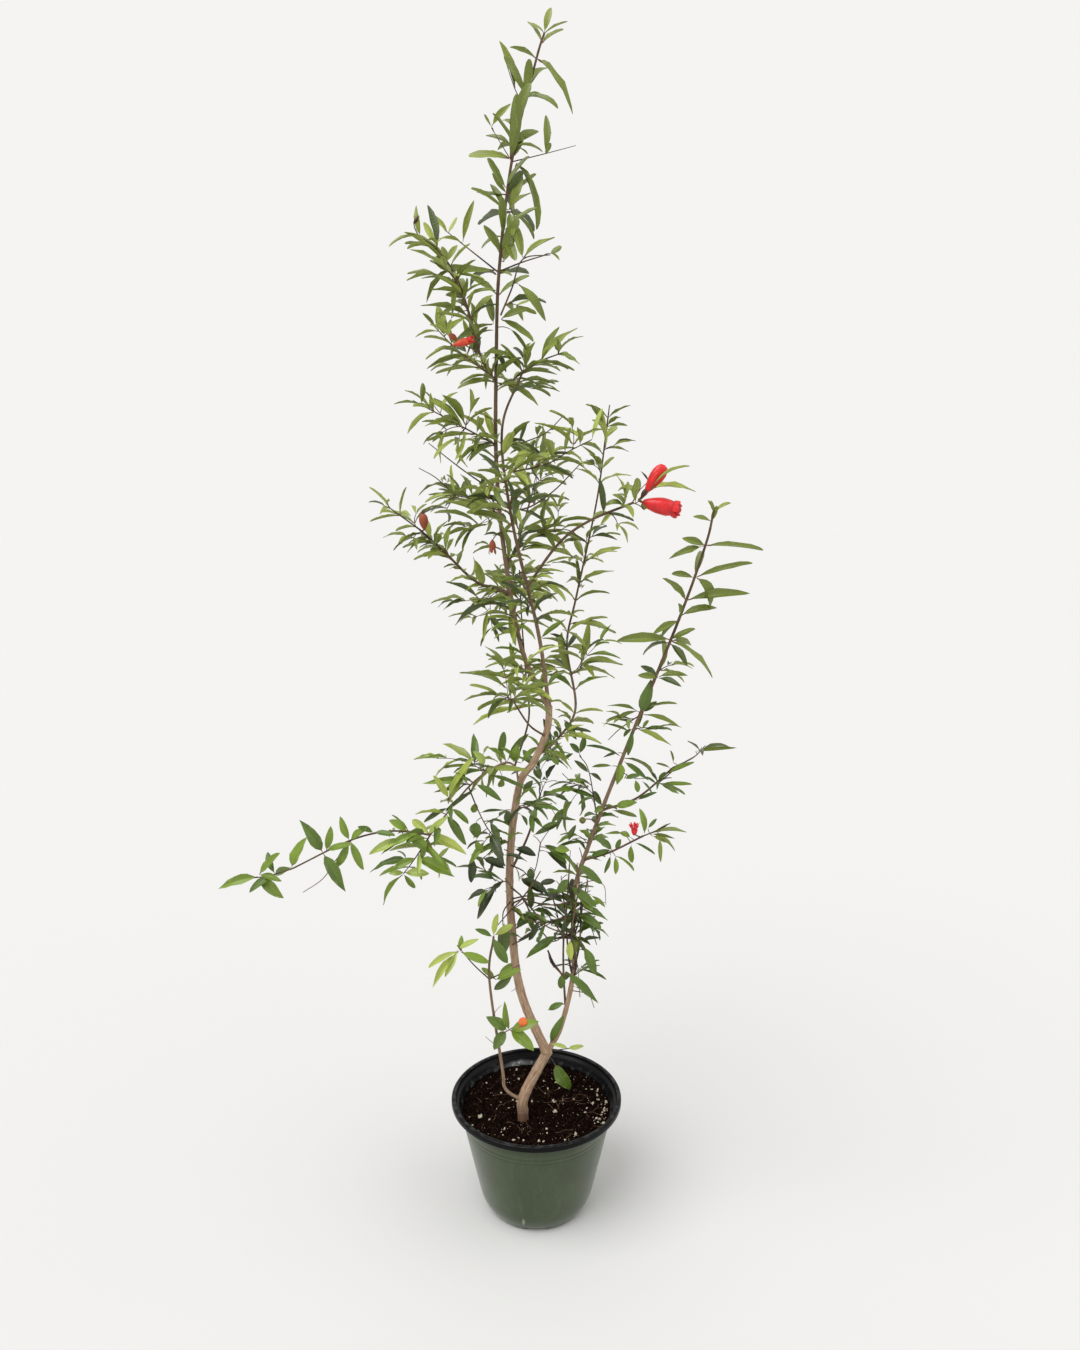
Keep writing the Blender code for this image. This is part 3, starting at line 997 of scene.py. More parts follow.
def turned_frames(points):
    """Two directions across a line at each point, which follow it without twisting."""
    frames = []
    side = None
    for i in range(len(points)):
        along = (points[min(i + 1, len(points) - 1)] - points[max(i - 1, 0)]).normalized()
        if side is None:
            side = along.cross(UP if abs(along.z) < 0.9 else FRONT)
        side = (side - along * side.dot(along)).normalized()
        frames.append((along, side, along.cross(side)))
    return frames


def outward(frame, turn):
    """The direction out of a line at a turn round it."""
    _, side, across = frame
    return side * math.cos(turn) + across * math.sin(turn)


def bark_radius(name, share, length, turn, seed):
    """The limb's radius with its taper, flare, collar, swellings and cracks."""
    _, _, foot, tip = LIMBS[name][0]
    radius = (foot + (tip - foot) * share) * SLIM.get(name, 1.0)
    if name == "trunk":
        radius += foot * FLARE * math.exp(-length / FLARE_FADE)
        radius *= 1 + 0.10 * math.cos(3 * turn + 0.6) * math.exp(-length / 9)
    else:
        radius *= 1 + (0.12 if name == "main_stem" else 0.45) * math.exp(-((length / (foot * 1.8 + 2)) ** 2))
    swelling = (length + seed * 7) % NODE_PITCH - NODE_PITCH / 2
    radius *= 1 + 0.07 * math.exp(-((swelling / 1.5) ** 2))
    ring = Vector((math.cos(turn), math.sin(turn), 0))
    cracks = noise.noise(ring * 2.3 + Vector((seed, 0, length / 24)))
    fine = noise.noise(ring * 6.5 + Vector((0, seed, length / 12)))
    lumps = noise.noise(ring * 0.8 + Vector((0, 0, length / 15 + seed)))
    rough = AGE.get(name, YOUNG)[0]
    return radius * (1 + rough * (0.07 * cracks + 0.055 * fine) + 0.05 * lumps)


# %% Bark on every limb
bark_skin = Skin()
for seed, name in enumerate(LIMBS):
    points = limb_lines[name]
    _, _, foot, tip = LIMBS[name][0]
    sides = 26 if foot > 4 else 18 if foot > 2 else 10
    far = distances(points)
    rings = []
    ages = []
    start_age, end_age = AGE.get(name, YOUNG)
    for point, length, line_frame in zip(points, far, turned_frames(points)):
        share = length / far[-1]
        ring = []
        for j in range(sides):
            turn = 2 * math.pi * j / sides
            radius = bark_radius(name, share, length, turn, seed)
            ring.append(point + outward(line_frame, turn) * radius)
        rings.append(ring)
        ages.append(start_age + (end_age - start_age) * share)
    last = (points[-1] - points[-2]).normalized()
    rings.append([points[-1] + (p - points[-1]) * 0.6 + last * 0.5 * tip for p in rings[-1]])
    ages.append(ages[-1])
    lengths = [length * MAP_SCALE for length in far + far[-1:]]
    bark_skin.body(points[0], rings, points[-1] + last * 0.8 * tip, lengths=lengths, marks=ages)
print("points of the bark", len(bark_skin.points))

# %% Bark finish
def mark_of(tree):
    """The mark that goes with each ring of a skin."""
    return add(tree, "ShaderNodeAttribute", attribute_name="mark").outputs["Fac"]


bark, tree, shader, where = finish("bark", 0.75, 0.25)
age = mark_of(tree)
over = add(tree, "ShaderNodeUVMap", uv_map="UVMap").outputs["UV"]
strands = grain(tree, stretch(tree, over, (11, 1.7, 1)), 2.2, 5, 0.65)
fibres = grain(tree, stretch(tree, over, (40, 4, 1)), 2.2, 4, 0.6)
patches = grain(tree, where, 75, 4)
young = mix(tree, rescale(tree, patches, 0.3, 0.7), rgb(74, 54, 46), rgb(112, 92, 66))
old = mix(tree, rescale(tree, strands, 0.36, 0.66), rgb(138, 106, 82), rgb(204, 180, 150))
old = mix(tree, rescale(tree, fibres, 0.42, 0.62, 0.3, 0.0), old, rgb(82, 56, 44))
old = mix(tree, rescale(tree, patches, 0.45, 0.75, 0.0, 0.5), old, rgb(152, 116, 98))
colour = mix(tree, rescale(tree, age, 0.2, 0.6), young, old)
height = add(tree, "ShaderNodeSeparateXYZ", {0: where}).outputs["Z"]
damp = rescale(tree, height, 0.116, 0.096)
colour = mix(tree, damp, colour, rgb(92, 60, 46))
cracks = relief(tree, strands, 0.0006, 0.8)
feed(tree, shader, colour, relief(tree, grain(tree, where, 900, 4), 0.0002, 0.6, cracks))
place_piece("bark", bark_skin.mesh("bark", [bark]), list(LIMBS))

# %% [markdown]
# ## Listed twigs
# Where the photo shows a single twig against the background, its line is listed, so that the
# crown has the right outline. Each has its radius at the foot and at the tip, then its places.

# %% Listed twigs
TWIGS = (
    (0.8, 0.4, (-32, -4, 870), (-11, -8, 877), (10, -12, 882)),
    (0.8, 0.4, (-30, -4, 835), (-20, -10, 856), (-11, -16, 877), (12, -26, 878)),
    (0.5, 0.25, (-20, 2, 959), (7, -4, 963), (33, -8, 968)),
    (0.5, 0.3, (-22, 2, 962), (-37, 4, 986)),
    (0.5, 0.3, (-11, 6, 1007), (-17, 6, 1016), (-25, 6, 1038)),
    (0.8, 0.4, (-32, -4, 870), (-64, 14, 898), (-79, 22, 911)),
    (0.8, 0.4, (-52, -20, 823), (-65, -28, 860), (-80, -34, 880), (-95, -40, 890), (-98, -40, 899)),
    (0.8, 0.4, (-34, 0, 783), (-68, 20, 810), (-94, 36, 837)),
    (0.9, 0.5, (-12, -12, 786), (4, -14, 796), (22, -18, 802)),
    (0.7, 0.4, (-28, -16, 726), (-14, -14, 728), (4, -18, 734), (12, -20, 739), (23, -22, 750)),
    (0.8, 0.4, (-24, -22, 703), (8, -34, 709), (27, -44, 719), (46, -52, 728)),
    (0.8, 0.4, (-17, -24, 671), (-3, -30, 675), (16, -38, 688), (36, -46, 708)),
    (0.8, 0.4, (-35, 7, 687), (-65, 24, 707), (-99, 46, 733)),
    (0.8, 0.4, (-35, 4, 728), (-68, -24, 744), (-101, -44, 760)),
    (0.8, 0.4, (-32, 8, 668), (-59, 20, 682), (-73, 24, 686), (-91, 30, 701), (-107, 34, 710)),
    (0.8, 0.5, (-100, -25, 655), (-125, -34, 674)),
    (0.9, 0.5, (64, 46, 740), (67, 44, 767)),
    (0.8, 0.5, (-220, -30, 352), (-240, -32, 346), (-256, -33, 344)),
    (0.6, 0.35, (-168, -26, 376), (-182, -26, 358), (-194, -27, 341), (-212, -30, 329)),
    (0.8, 0.4, (-96, -22, 381), (-109, -24, 361), (-120, -26, 346)),
    (0.7, 0.4, (-43, -34, 247), (-57, -36, 262), (-72, -38, 282)),
    (0.7, 0.4, (-43, -34, 247), (-29, -32, 253), (-15, -30, 259)),
    (0.6, 0.4, (-36, -32, 189), (-25, -36, 198)),
    (0.5, 0.4, (-25, -36, 198), (-16, -38, 205), (-12, -38, 207)),
    (0.7, 0.4, (11, -10, 156), (15, -12, 154), (17, -13, 150)),
    (0.6, 0.35, (10, -10, 160), (20, -11, 163), (37, -12, 166)),
    (0.7, 0.4, (98, -14, 377), (109, -20, 384), (121, -26, 393)),
    (0.8, 0.4, (133, 46, 426), (153, 50, 435), (165, 54, 446)),
    (0.7, 0.4, (58, 25, 382), (50, 30, 427), (41, 34, 441)),
    (0.7, 0.4, (95, 16, 483), (79, 22, 470), (68, 26, 458)),
    (0.8, 0.4, (-60, -10, 424), (-66, -12, 425), (-80, -16, 412), (-79, -22, 416)),
    (1.0, 0.6, (-25, 8, 297), (-21, 2, 306), (-13, -6, 314), (-22, -7, 324), (-29, -8, 334)),
    (0.8, 0.5, (-13, -6, 314), (-4, -7, 327), (4, -8, 341)),
    (0.8, 0.5, (-13, -6, 314), (2, -7, 309), (18, -8, 308), (31, -9, 312)),
    (0.8, 0.5, (-13, -6, 313), (-2, -7, 301), (8, -8, 288), (22, -8, 281), (36, -8, 273)),
    (0.7, 0.4, (-13, -6, 313), (-25, -7, 301), (-36, -8, 288)),
    (1.1, 0.6, (35, 10, 228), (31, 6, 250), (27, 4, 299), (24, 0, 322)),
    (1.1, 0.6, (36, 11, 234), (41, 4, 262), (43, 2, 297), (48, -4, 331)),
    (0.9, 0.5, (36, 12, 240), (36, 8, 266), (36, 6, 291), (30, 2, 328)),
    (1.2, 0.7, (28, 8, 200), (26, 3, 236), (26, 0, 273), (29, -2, 307), (31, -4, 346)),
    (1.2, 0.7, (35, 8, 222), (38, -2, 249), (33, -6, 276), (36, -6, 301), (40, -6, 328), (38, -4, 346)),
    (0.8, 0.5, (36, 8, 268), (42, 12, 290), (43, 14, 320)),
    (0.7, 0.4, (-24, -2, 302), (-11, -8, 296), (2, -8, 289), (8, -6, 285)),
    (0.8, 0.4, (-24, 0, 344), (-12, 0, 338), (-6, 2, 329)),
    (0.8, 0.5, (-23, -1, 311), (-6, 4, 312), (16, 6, 308)),
    (0.8, 0.5, (-13, 3, 311), (-5, 2, 295), (4, 4, 278), (15, 4, 266), (24, 4, 270)),
    (0.7, 0.4, (-24, -3, 323), (-11, -6, 312), (-21, -4, 303)),
    (0.8, 0.4, (34, 2, 292), (19, 0, 290), (5, -4, 286), (-17, -4, 271)),
    (0.7, 0.4, (16, 6, 308), (20, 8, 291), (25, 10, 270)),
    (1.2, 0.9, (26, 5, 230), (16, 2, 246), (11, 2, 258)),
    (1.0, 0.8, (24, 5, 233), (14, 0, 247), (12, 2, 256)),
    (0.7, 0.4, (4, 2, 365), (0, 2, 342), (-4, 2, 332)),
    (0.6, 0.4, (38, 4, 238), (28, 4, 243), (19, 4, 242)),
    (0.6, 0.35, (36, 0, 296), (51, 10, 280), (58, 10, 260)),
    (0.5, 0.3, (39, -2, 324), (53, 4, 327), (64, 4, 322), (66, 4, 303)),
    (0.5, 0.3, (34, 8, 214), (50, 6, 211), (56, 6, 197)),
    (0.7, 0.4, (-24, -2, 309), (-31, -6, 300), (-31, -8, 283)),
    (0.7, 0.4, (26, 3, 272), (11, 2, 294), (4, 2, 304)),
    (0.7, 0.4, (-23, -3, 266), (-11, 0, 271), (4, 2, 280), (19, 4, 288)),
    (0.8, 0.4, (-62, -8, 422), (-55, -7, 403), (-47, -8, 386), (-38, -8, 372), (-30, -6, 356)),
    (1.1, 0.6, (-20, 4, 438), (-7, 4, 482), (-9, 3, 519), (-13, 4, 574), (-15, 6, 619)),
    (0.7, 0.35, (118, 40, 412), (127, 40, 420), (141, 42, 431), (156, 46, 439), (160, 46, 446)),
    (0.5, 0.3, (78, 20, 430), (92, 14, 424), (102, 10, 425)),
    (0.35, 0.2, (-42, -33, 207), (-37, -34, 216), (-32, -35, 222)),
    (0.35, 0.2, (-36, -30, 178), (-42, -32, 184), (-47, -34, 190)),
    (0.35, 0.2, (-17, -2, 226), (-21, -6, 222), (-24, -7, 221)),
)
print("twigs laid by hand", len(TWIGS))

# %% Lines of the twigs
twig_lines = []
wood = []


def tapered(points, radius_from, radius_to):
    """A line's points, each with its radius."""
    far = distances(points)
    return [(p, radius_from + (radius_to - radius_from) * f / far[-1]) for p, f in zip(points, far)]


def remember(points, radius_from, radius_to, every=3.0):
    """Notes where a limb or twig runs, so that more twigs can leave it."""
    far = distances(points)
    mark = 0.0
    for i in range(len(points) - 1):
        if far[i] >= mark:
            mark += every
            share = far[i] / far[-1]
            along = (points[i + 1] - points[i]).normalized()
            wood.append((points[i], along, radius_from + (radius_to - radius_from) * share))


def add_twig(points, radius_from, radius_to):
    """Keeps a twig's line with its radius at each point, and notes it as wood."""
    twig_lines.append(tapered(points, radius_from, radius_to))
    remember(points, radius_from, radius_to)


for name, points in limb_lines.items():
    _, _, foot, tip = LIMBS[name][0]
    remember(points, foot, tip)
for radius_from, radius_to, *places in TWIGS:
    add_twig(smooth_line(places, 4.0), radius_from, radius_to)
print("places on the wood", len(wood))

# %% [markdown]
# ## Leaf shapes
# A pomegranate leaf is narrow and glossy, with a short red stalk, a pale midrib and a wavy edge.
# Leaves high on the plant are blunt, and those low down are drawn out to a point. A leaf here is a
# closed lens of a few dozen faces: rings of six points along a bent middle line, which taper to a
# point at both ends. Its map keeps the upper side left of the middle and the underside right of it.

# %% Leaf meshes
LEAF_STATIONS = 7
STALK = 0.09
# how full the outline is at the foot and at the tip, then arch, fold, twist and sideways bend
LEAF_KINDS = {
    "blunt": ((0.62, 0.42, 0.5, 0.25, 0.2, 0.15), (0.58, 0.46, -0.3, 0.3, -0.25, -0.2)),
    "lance": (
        (0.75, 0.80, 0.6, 0.4, 0.3, 0.3),
        (0.72, 0.72, 0.3, 0.45, -0.4, -0.35),
        (0.8, 0.8, 0.9, 0.35, 0.1, 0.1),
    ),
    "pointed": ((0.72, 1.25, 0.7, 0.35, 0.4, 0.35), (0.66, 1.15, 1.0, 0.3, -0.5, -0.3)),
    "broad": ((0.62, 0.92, 0.6, 0.5, 0.4, 0.25), (0.58, 0.84, 0.9, 0.45, -0.45, -0.2)),
    "narrow": ((0.7, 0.75, 0.5, 0.5, 0.3, 0.5), (0.75, 0.85, 0.9, 0.5, -0.3, -0.45)),
    "folded": ((0.65, 0.75, 1.5, 0.8, 0.4, 0.2),),
}
WAVY_KINDS = ("leaf_broad", "leaf_pointed")
WAVY_RIPPLE = 0.06
PLAIN_RIPPLE = 0.022
RIB_CORNERS = ((-1, 0), (-0.5, 1), (0, 0), (0.5, 1), (1, 0))
SHARP = 75


def leaf_faces(heights, tip):
    """The faces over a leaf's rings of six, and their map."""
    faces = []
    maps = []
    for j in range(6):
        k = (j + 1) % 6
        left = j / 8 if j < 4 else 0.5 + (j - 4) / 4
        right = (j + 1) / 8 if j < 4 else 0.5 + (j - 3) / 4
        faces.append((0, 1 + k, 1 + j))
        maps += [((left + right) / 2, 0.0), (right, heights[0]), (left, heights[0])]
        for i, (near, far) in enumerate(zip(heights, heights[1:])):
            a = 1 + i * 6
            faces.append((a + j, a + k, a + 6 + k, a + 6 + j))
            maps += [(left, near), (right, near), (right, far), (left, far)]
        a = 1 + (len(heights) - 1) * 6
        faces.append((a + j, a + k, tip))
        maps += [(left, heights[-1]), (right, heights[-1]), ((left + right) / 2, 1.0)]
    return faces, maps


def leaf_mesh(name, seed, rise, fall, arch, fold, twist, bend):
    """One leaf of unit length and width along X, with its upper side up Z."""
    draw = random.Random(seed)
    shares = [0.5 * (1 - math.cos(math.pi * i / (LEAF_STATIONS + 1))) for i in range(1, LEAF_STATIONS + 1)]
    peak = rise / (rise + fall)
    fullest = peak**rise * (1 - peak) ** fall
    stations = [(STALK * 0.5, 0.03), (STALK, 0.045)]
    stations += [(STALK + (1 - STALK) * s, 0.5 * s**rise * (1 - s) ** fall / fullest) for s in shares]
    wave = draw.uniform(0, 6)
    ripple = WAVY_RIPPLE if name in WAVY_KINDS else PLAIN_RIPPLE
    points = [Vector((0, 0, 0))]
    place = Vector((0, 0, 0))
    before = 0.0
    for t, half in stations + [(1.0, 0.0)]:
        pitch = arch * (0.35 - t)
        yaw = bend * (t - 0.3)
        along = Vector((math.cos(pitch) * math.cos(yaw), math.sin(yaw) * 0.8, math.sin(pitch)))
        place = place + along * (t - before)
        before = t
        if half == 0.0:
            points.append(place.copy())
            break
        roll = twist * t
        side = Vector((-math.sin(yaw), math.cos(yaw) * math.cos(roll), math.sin(roll) * 0.3))
        thick = 0.011 if t > STALK else 0.02
        for across, rib in RIB_CORNERS:
            lift = fold * 0.3 * half * abs(across) ** 1.3 + (0.012 * half if rib else 0)
            lift += ripple * half * abs(across) * math.sin(15 * t + wave + across)
            points.append(place + side * (half * across) + Vector((0, 0, lift + thick * 0.5)))
        points.append(place + Vector((0, 0, -thick)))
    faces, maps = leaf_faces([t for t, _ in stations], len(points) - 1)
    made = bpy.data.meshes.new(name)
    made.from_pydata(points, [], faces)
    set_map(made, maps)
    face_out(made)
    made.set_sharp_from_angle(angle=math.radians(SHARP))
    return made


# %% Every shape of leaf
leaf_meshes = []
kind_numbers = {}
for kind, shapes in LEAF_KINDS.items():
    kind_numbers[kind] = list(range(len(leaf_meshes), len(leaf_meshes) + len(shapes)))
    for shape in shapes:
        leaf_meshes.append(leaf_mesh(f"leaf_{kind}", len(leaf_meshes), *shape))
print("leaf shapes", len(leaf_meshes), "with", len(leaf_meshes[0].polygons), "faces each")

# %% [markdown]
# ## Laying leaves
# Every leaf is noted first as a foot, a direction, the way its upper side faces, a length, a width,
# a shape and a tint. A leaf's three directions make a rotation, and the noted leaves become points
# for the set-out tree later on.

# %% Notes of leaves
leaves = []


def turn_of(along, facing):
    """The rotation that takes X to the leaf's direction and Z to its upper side."""
    along = along.normalized()
    upper = facing - along * facing.dot(along)
    if upper.length < 0.05:
        upper = along.cross(Vector((0.3, 0.9, 0.2)))
    upper.normalize()
    side = upper.cross(along)
    return Matrix((along, side, upper)).transposed().to_quaternion()


def lay_leaf(foot, along, facing, length, width, kind, tint, mass):
    """Notes one leaf of the mass named."""
    number = draw.choice(kind_numbers[kind])
    size = Vector((length, width, length))
    leaves.append((foot, turn_of(along, facing), size, number, tint, mass))


# %% [markdown]
# ## Listed leaves
# The leaves that stand free against the background are set one by one at their node. Each has its
# heading as seen from the front (0 to the right, 90 up), how far it leans towards the viewer, its
# length and width as they show, and its shape, which is a lance where none is named. In the table
# a mass's name comes first, and then a row for each node: its tint and place, and its leaves.

# %% Listed leaves
HAND_SET = (
    "tip_tuft",
    "light 7 8 1060 | 75 5 22 6 | 140 -10 17 5 blunt | 20 20 20 5",
    "light 5 7 1052 | 115 -20 26 7 blunt | 48 -30 27 7",
    "mid -9 6 1011 | 64 -20 40 10 | 118 10 34 8 blunt",
    "first_whorl",
    "mid -17 1 984 | 72 20 34 10 blunt | 124 -30 20 7",
    "mid -20 1 972 | 38 -20 30 8 | 150 -20 26 7",
    "second_whorl",
    "mid -25 0 938 | 52 15 30 8 | 128 15 26 7 blunt",
    "mid -26 0 904 | -72 20 30 9 blunt | 30 25 30 8",
    "mid -27 0 899 | 96 25 28 8 blunt | 200 10 22 6",
    "third_whorl",
    "mid -29 -2 886 | 58 30 26 9 blunt | 126 20 24 7",
    "mid -32 -2 851 | 30 20 30 8 | 150 20 26 7",
    "tip_tuft",
    "mid 1 6 1040 | -50 12 54 10 pointed | 160 10 24 6",
    "light -17 6 1016 | 108 10 38 8",
    "mid -8 6 1010 | 82 10 27 9 blunt | 17 15 12 4 | -17 25 29 7 narrow",
    "light -37 4 987 | 47 10 24 6 narrow | 130 20 10 4 blunt",
    "first_whorl",
    "mid -22 0 960 | 79 25 44 12 blunt | 62 -10 25 10 blunt",
    "light -22 0 962 | 177 10 34 10 blunt | 150 -50 24 9 blunt",
    "mid -16 0 958 | -65 10 58 7 narrow | -100 -50 34 8",
    "mid 8 -6 963 | 88 0 31 7 | 60 10 9 4 blunt",
    "second_whorl",
    "mid -27 0 920 | 147 20 30 9 blunt | 114 -20 28 6",
    "light -23 0 920 | 65 10 31 7 | 35 25 22 5 narrow",
    "mid -22 0 919 | -38 0 31 4 narrow | -85 35 26 8 blunt",
    "deep -25 2 918 | 170 -55 28 8 | 10 -55 28 8",
    "high_left_spray",
    "light -63 14 898 | 74 10 36 6 | 167 15 22 4 narrow",
    "fresh -76 20 908 | 129 10 18 4 | 60 -20 16 5 blunt",
    "third_whorl",
    "mid -34 -4 872 | 184 10 42 8 blunt | -20 20 15 5",
    "light -27 -4 878 | 70 10 22 8 blunt | 110 -40 28 8",
    "mid -15 -6 859 | -50 10 39 9",
    "light -11 -12 880 | 104 0 26 8 blunt | 31 25 30 5 narrow",
    "mid 12 -14 883 | 27 0 11 7 blunt | -30 20 10 4",
    "mid -30 -4 832 | 18 20 25 7 | -32 10 34 9",
    "mid -36 -6 828 | 202 10 41 8 | 104 -10 24 8 blunt",
    "deep -33 0 868 | 160 -55 30 9 | 25 -50 30 9",
    "high_left_spray",
    "fresh -82 -34 884 | 116 0 20 6 | 27 10 9 4 blunt",
    "light -81 -28 823 | 101 0 31 10 broad",
    "right_top_spray",
    "light 156 -12 670 | 38 10 16 5 narrow | 120 0 12 4 blunt",
    "mid 153 -12 662 | 164 10 17 6 | 70 10 14 5 blunt",
    "mid 149 -8 641 | 162 10 22 8 | -2 10 50 8",
    "mid 146 -8 640 | 196 10 32 8 pointed",
    "mid 142 -6 613 | 17 12 50 8 | -55 10 34 11 folded",
    "mid 141 -6 612 | 165 -30 22 7 | 60 -60 30 8",
    "mid 134 -2 592 | 132 10 30 9 broad | 11 15 56 9",
    "mid 130 0 578 | 96 30 12 10 broad | 20 10 34 8",
    "right_mid_tuft",
    "mid 129 0 574 | 204 15 27 7 | 230 -40 24 7",
    "mid 122 4 556 | 176 12 50 10 | 28 10 24 7",
    "mid 122 4 555 | -33 12 53 9 pointed | -8 -30 26 8",
    "deep 121 5 553 | -48 30 24 8 | 200 -40 28 8",
    "mid 112 8 521 | 173 10 19 7 | 12 15 27 7",
    "deep 112 9 520 | 145 -40 18 7 | -11 35 20 7",
    "right_stem_spray",
    "forest 97 14 486 | 75 12 34 12 broad",
    "arching_tips",
    "grass -250 -33 345 | 190 8 42 9 pointed | -38 15 29 11 broad",
    "grass -250 -33 347 | 49 10 30 9 | -5 20 22 7",
    "forest -236 -31 347 | 120 -25 22 7 | 205 30 24 8",
    "grass -221 -30 353 | 67 5 32 12 broad | 210 -30 24 8",
    "forest -193 -28 366 | 117 10 38 13 pointed | -58 12 42 12 pointed",
    "grass -190 -28 368 | 20 15 26 8 | 74 10 24 8",
    "grass -169 -26 377 | 109 5 24 8 | -114 10 29 8",
    "grass -168 -26 377 | -63 20 28 8 | 43 10 20 8",
    "forest -147 -25 384 | -3 10 20 7 | 150 20 15 6",
    "hanging_spray",
    "grass -117 -23 384 | 137 10 20 8 | -41 5 28 12 broad",
    "pale -122 -23 378 | 203 8 34 10 broad",
    "fresh -96 -22 381 | -22 12 39 10 pointed | 150 -30 24 8",
    "grass -109 -24 360 | -22 10 40 12 pointed | 200 20 22 8",
    "pale -120 -26 346 | 4 10 23 9 | 177 10 14 6",
    "grass -121 -26 345 | -129 5 38 6 narrow | -60 -20 20 6",
    "near_left_spray",
    "fresh -79 -22 414 | 64 10 46 7 narrow | 120 5 26 7",
    "side_tuft",
    "fresh -70 -37 276 | 201 10 33 7 | 228 15 42 7 narrow",
    "pale -71 -37 278 | 243 25 25 6 | 33 10 22 6",
    "grass -69 -37 275 | -16 10 29 9 | 86 -10 15 6",
    "grass -37 -32 246 | 36 20 27 9 | 150 -30 16 6",
    "forest -40 -30 286 | 149 10 18 6 | -58 20 27 10",
    "fresh -39 -29 287 | 80 -10 20 8 | 20 -30 20 7",
    "side_low_tuft",
    "forest -27 -36 197 | 140 5 24 11 broad | 232 12 22 11 broad",
    "grass -25 -36 198 | 98 20 32 7 | -32 15 30 14 broad",
    "grass -24 -36 197 | 30 15 29 11",
    "heart_foot_spray",
    "forest 17 -13 151 | -60 10 33 13 broad",
    "pale 30 -12 165 | 155 10 16 5 | 15 10 16 5 narrow",
    "forest 13 -4 168 | 68 10 32 9",
    "heart_low_spray",
    "dark 8 10 357 | -33 10 28 8",
    "forest 38 0 348 | -38 12 31 8",
    "grass 31 -8 325 | -43 8 34 10",
    "grass 51 6 315 | -41 -8 21 4 narrow",
    "forest 41 4 304 | -22 12 31 6 pointed",
    "grass 39 -4 294 | -28 5 21 8",
    "forest 37 0 268 | -52 5 18 6",
    "forest 45 -4 257 | -60 10 30 10 pointed",
    "forest 28 -6 236 | -41 10 46 9 pointed",
    "forest 24 0 233 | -90 10 15 9",
    "fresh 32 -8 273 | -90 15 19 8",
    "dark -14 -6 331 | -25 10 34 10 pointed",
    "forest 21 -10 273 | -150 12 39 10 pointed",
    "dark -19 0 358 | -16 10 20 7",
    "dark 19 6 328 | -176 10 16 7",
    "forest 31 0 332 | -130 10 18 9",
    "forest 11 -4 200 | 37 15 17 7",
    "dark -1 0 277 | -153 10 18 4 narrow",
    "forest 37 0 218 | -18 10 20 4 narrow",
    "deep -6 4 341 | -79 10 13 8 broad",
    "forest 11 0 359 | -35 10 22 7",
    "heart_left_spray",
    "grass -18 -8 247 | -145 10 22 9",
    "near_left_spray",
    "dark -35 -12 330 | -123 10 43 8 narrow",
    "dark -60 -8 357 | -89 10 27 9",
    "heart_inner_spray",
    "dark -50 -6 353 | -20 10 23 8 broad",
    "dark -16 -4 331 | -28 10 27 9 broad",
    "heart_mid_spray",
    "forest 32 -4 325 | -37 10 32 9",
    "forest 40 -4 296 | -32 10 26 9",
    "heart_left_spray",
    "deep -30 -4 290 | -92 10 33 13 broad",
    "heart_low_spray",
    "deep -22 0 234 | 215 10 24 9",
    "forest 45 2 262 | -67 10 28 10",
    "grass 38 2 272 | -95 10 22 10 broad",
    "high_left_spray",
    "light -73 -30 871 | 104 0 13 6 | 57 5 17 5",
    "mid -73 -30 871 | 145 0 11 5 narrow | -60 -40 20 6",
    "light -68 -28 862 | 145 0 18 7 | -8 10 27 5",
    "mid -58 -26 844 | 22 10 27 6 | 160 -30 20 6",
    "light -70 -28 828 | 85 0 33 5 narrow | -103 0 12 5 blunt",
    "mid -62 -24 838 | 75 0 24 4 narrow | 202 10 21 5",
    "light -50 -8 824 | 100 0 19 5 | 103 -30 14 5 blunt",
    "third_whorl",
    "mid -22 -8 824 | -48 0 24 4 narrow",
    "top_left_spray",
    "mid -45 -12 803 | -2 0 28 4 | 198 0 16 4",
    "light -34 -2 780 | 181 10 35 8 | -21 10 42 8",
    "deep -34 -3 806 | -62 10 20 5",
    "top_right_spray",
    "mid -12 -12 788 | 133 10 20 8 blunt | -3 10 31 4 narrow",
    "flower_spray",
    "light 83 -60 683 | 90 0 14 7 blunt | 150 -30 20 8 folded",
    "mid 72 -58 674 | 165 10 17 8 folded | 120 20 14 7 folded",
    "deep 92 -60 694 | 125 10 11 2 narrow",
    "right_stem_spray",
    "mid 94 14 488 | 162 12 30 4 narrow | -163 4 24 5",
    "forest 99 14 487 | 38 -8 17 6",
    "mid 100 14 489 | 23 20 31 3 narrow",
    "mid 91 14 476 | 166 -18 15 3 narrow",
    "mid 99 14 485 | -13 12 36 5",
    "forest 98 14 469 | 7 -8 28 5",
    "mid 99 14 471 | 63 20 10 4 blunt",
    "forest 90 14 471 | -99 4 27 6 | -139 -18 13 5",
    "mid 88 14 467 | 155 12 30 3 narrow",
    "forest 79 18 444 | 160 -8 34 5",
    "deep 77 18 447 | -172 20 15 3 narrow",
    "forest 82 18 439 | -36 4 33 6 pointed",
    "mid 82 18 442 | -23 -18 38 3 narrow",
    "grass 79 18 439 | -95 12 23 10 broad",
    "mid 72 18 434 | -178 -8 20 4",
    "forest 83 18 423 | 21 20 16 5",
    "grass 93 18 423 | -76 4 14 6",
    "forest 99 18 422 | -52 -18 18 4",
    "heart_right_spray",
    "deep 50 30 425 | 134 12 19 5 | -30 -8 16 5",
    "forest 41 30 443 | 125 20 14 7 | 72 4 19 7",
    "forest 60 30 400 | 164 -18 34 5 narrow",
    "grass 65 30 394 | -153 12 11 7",
    "forest 65 30 395 | -126 -8 8 6",
    "fork_spray",
    "forest 26 20 478 | -55 20 21 8 broad",
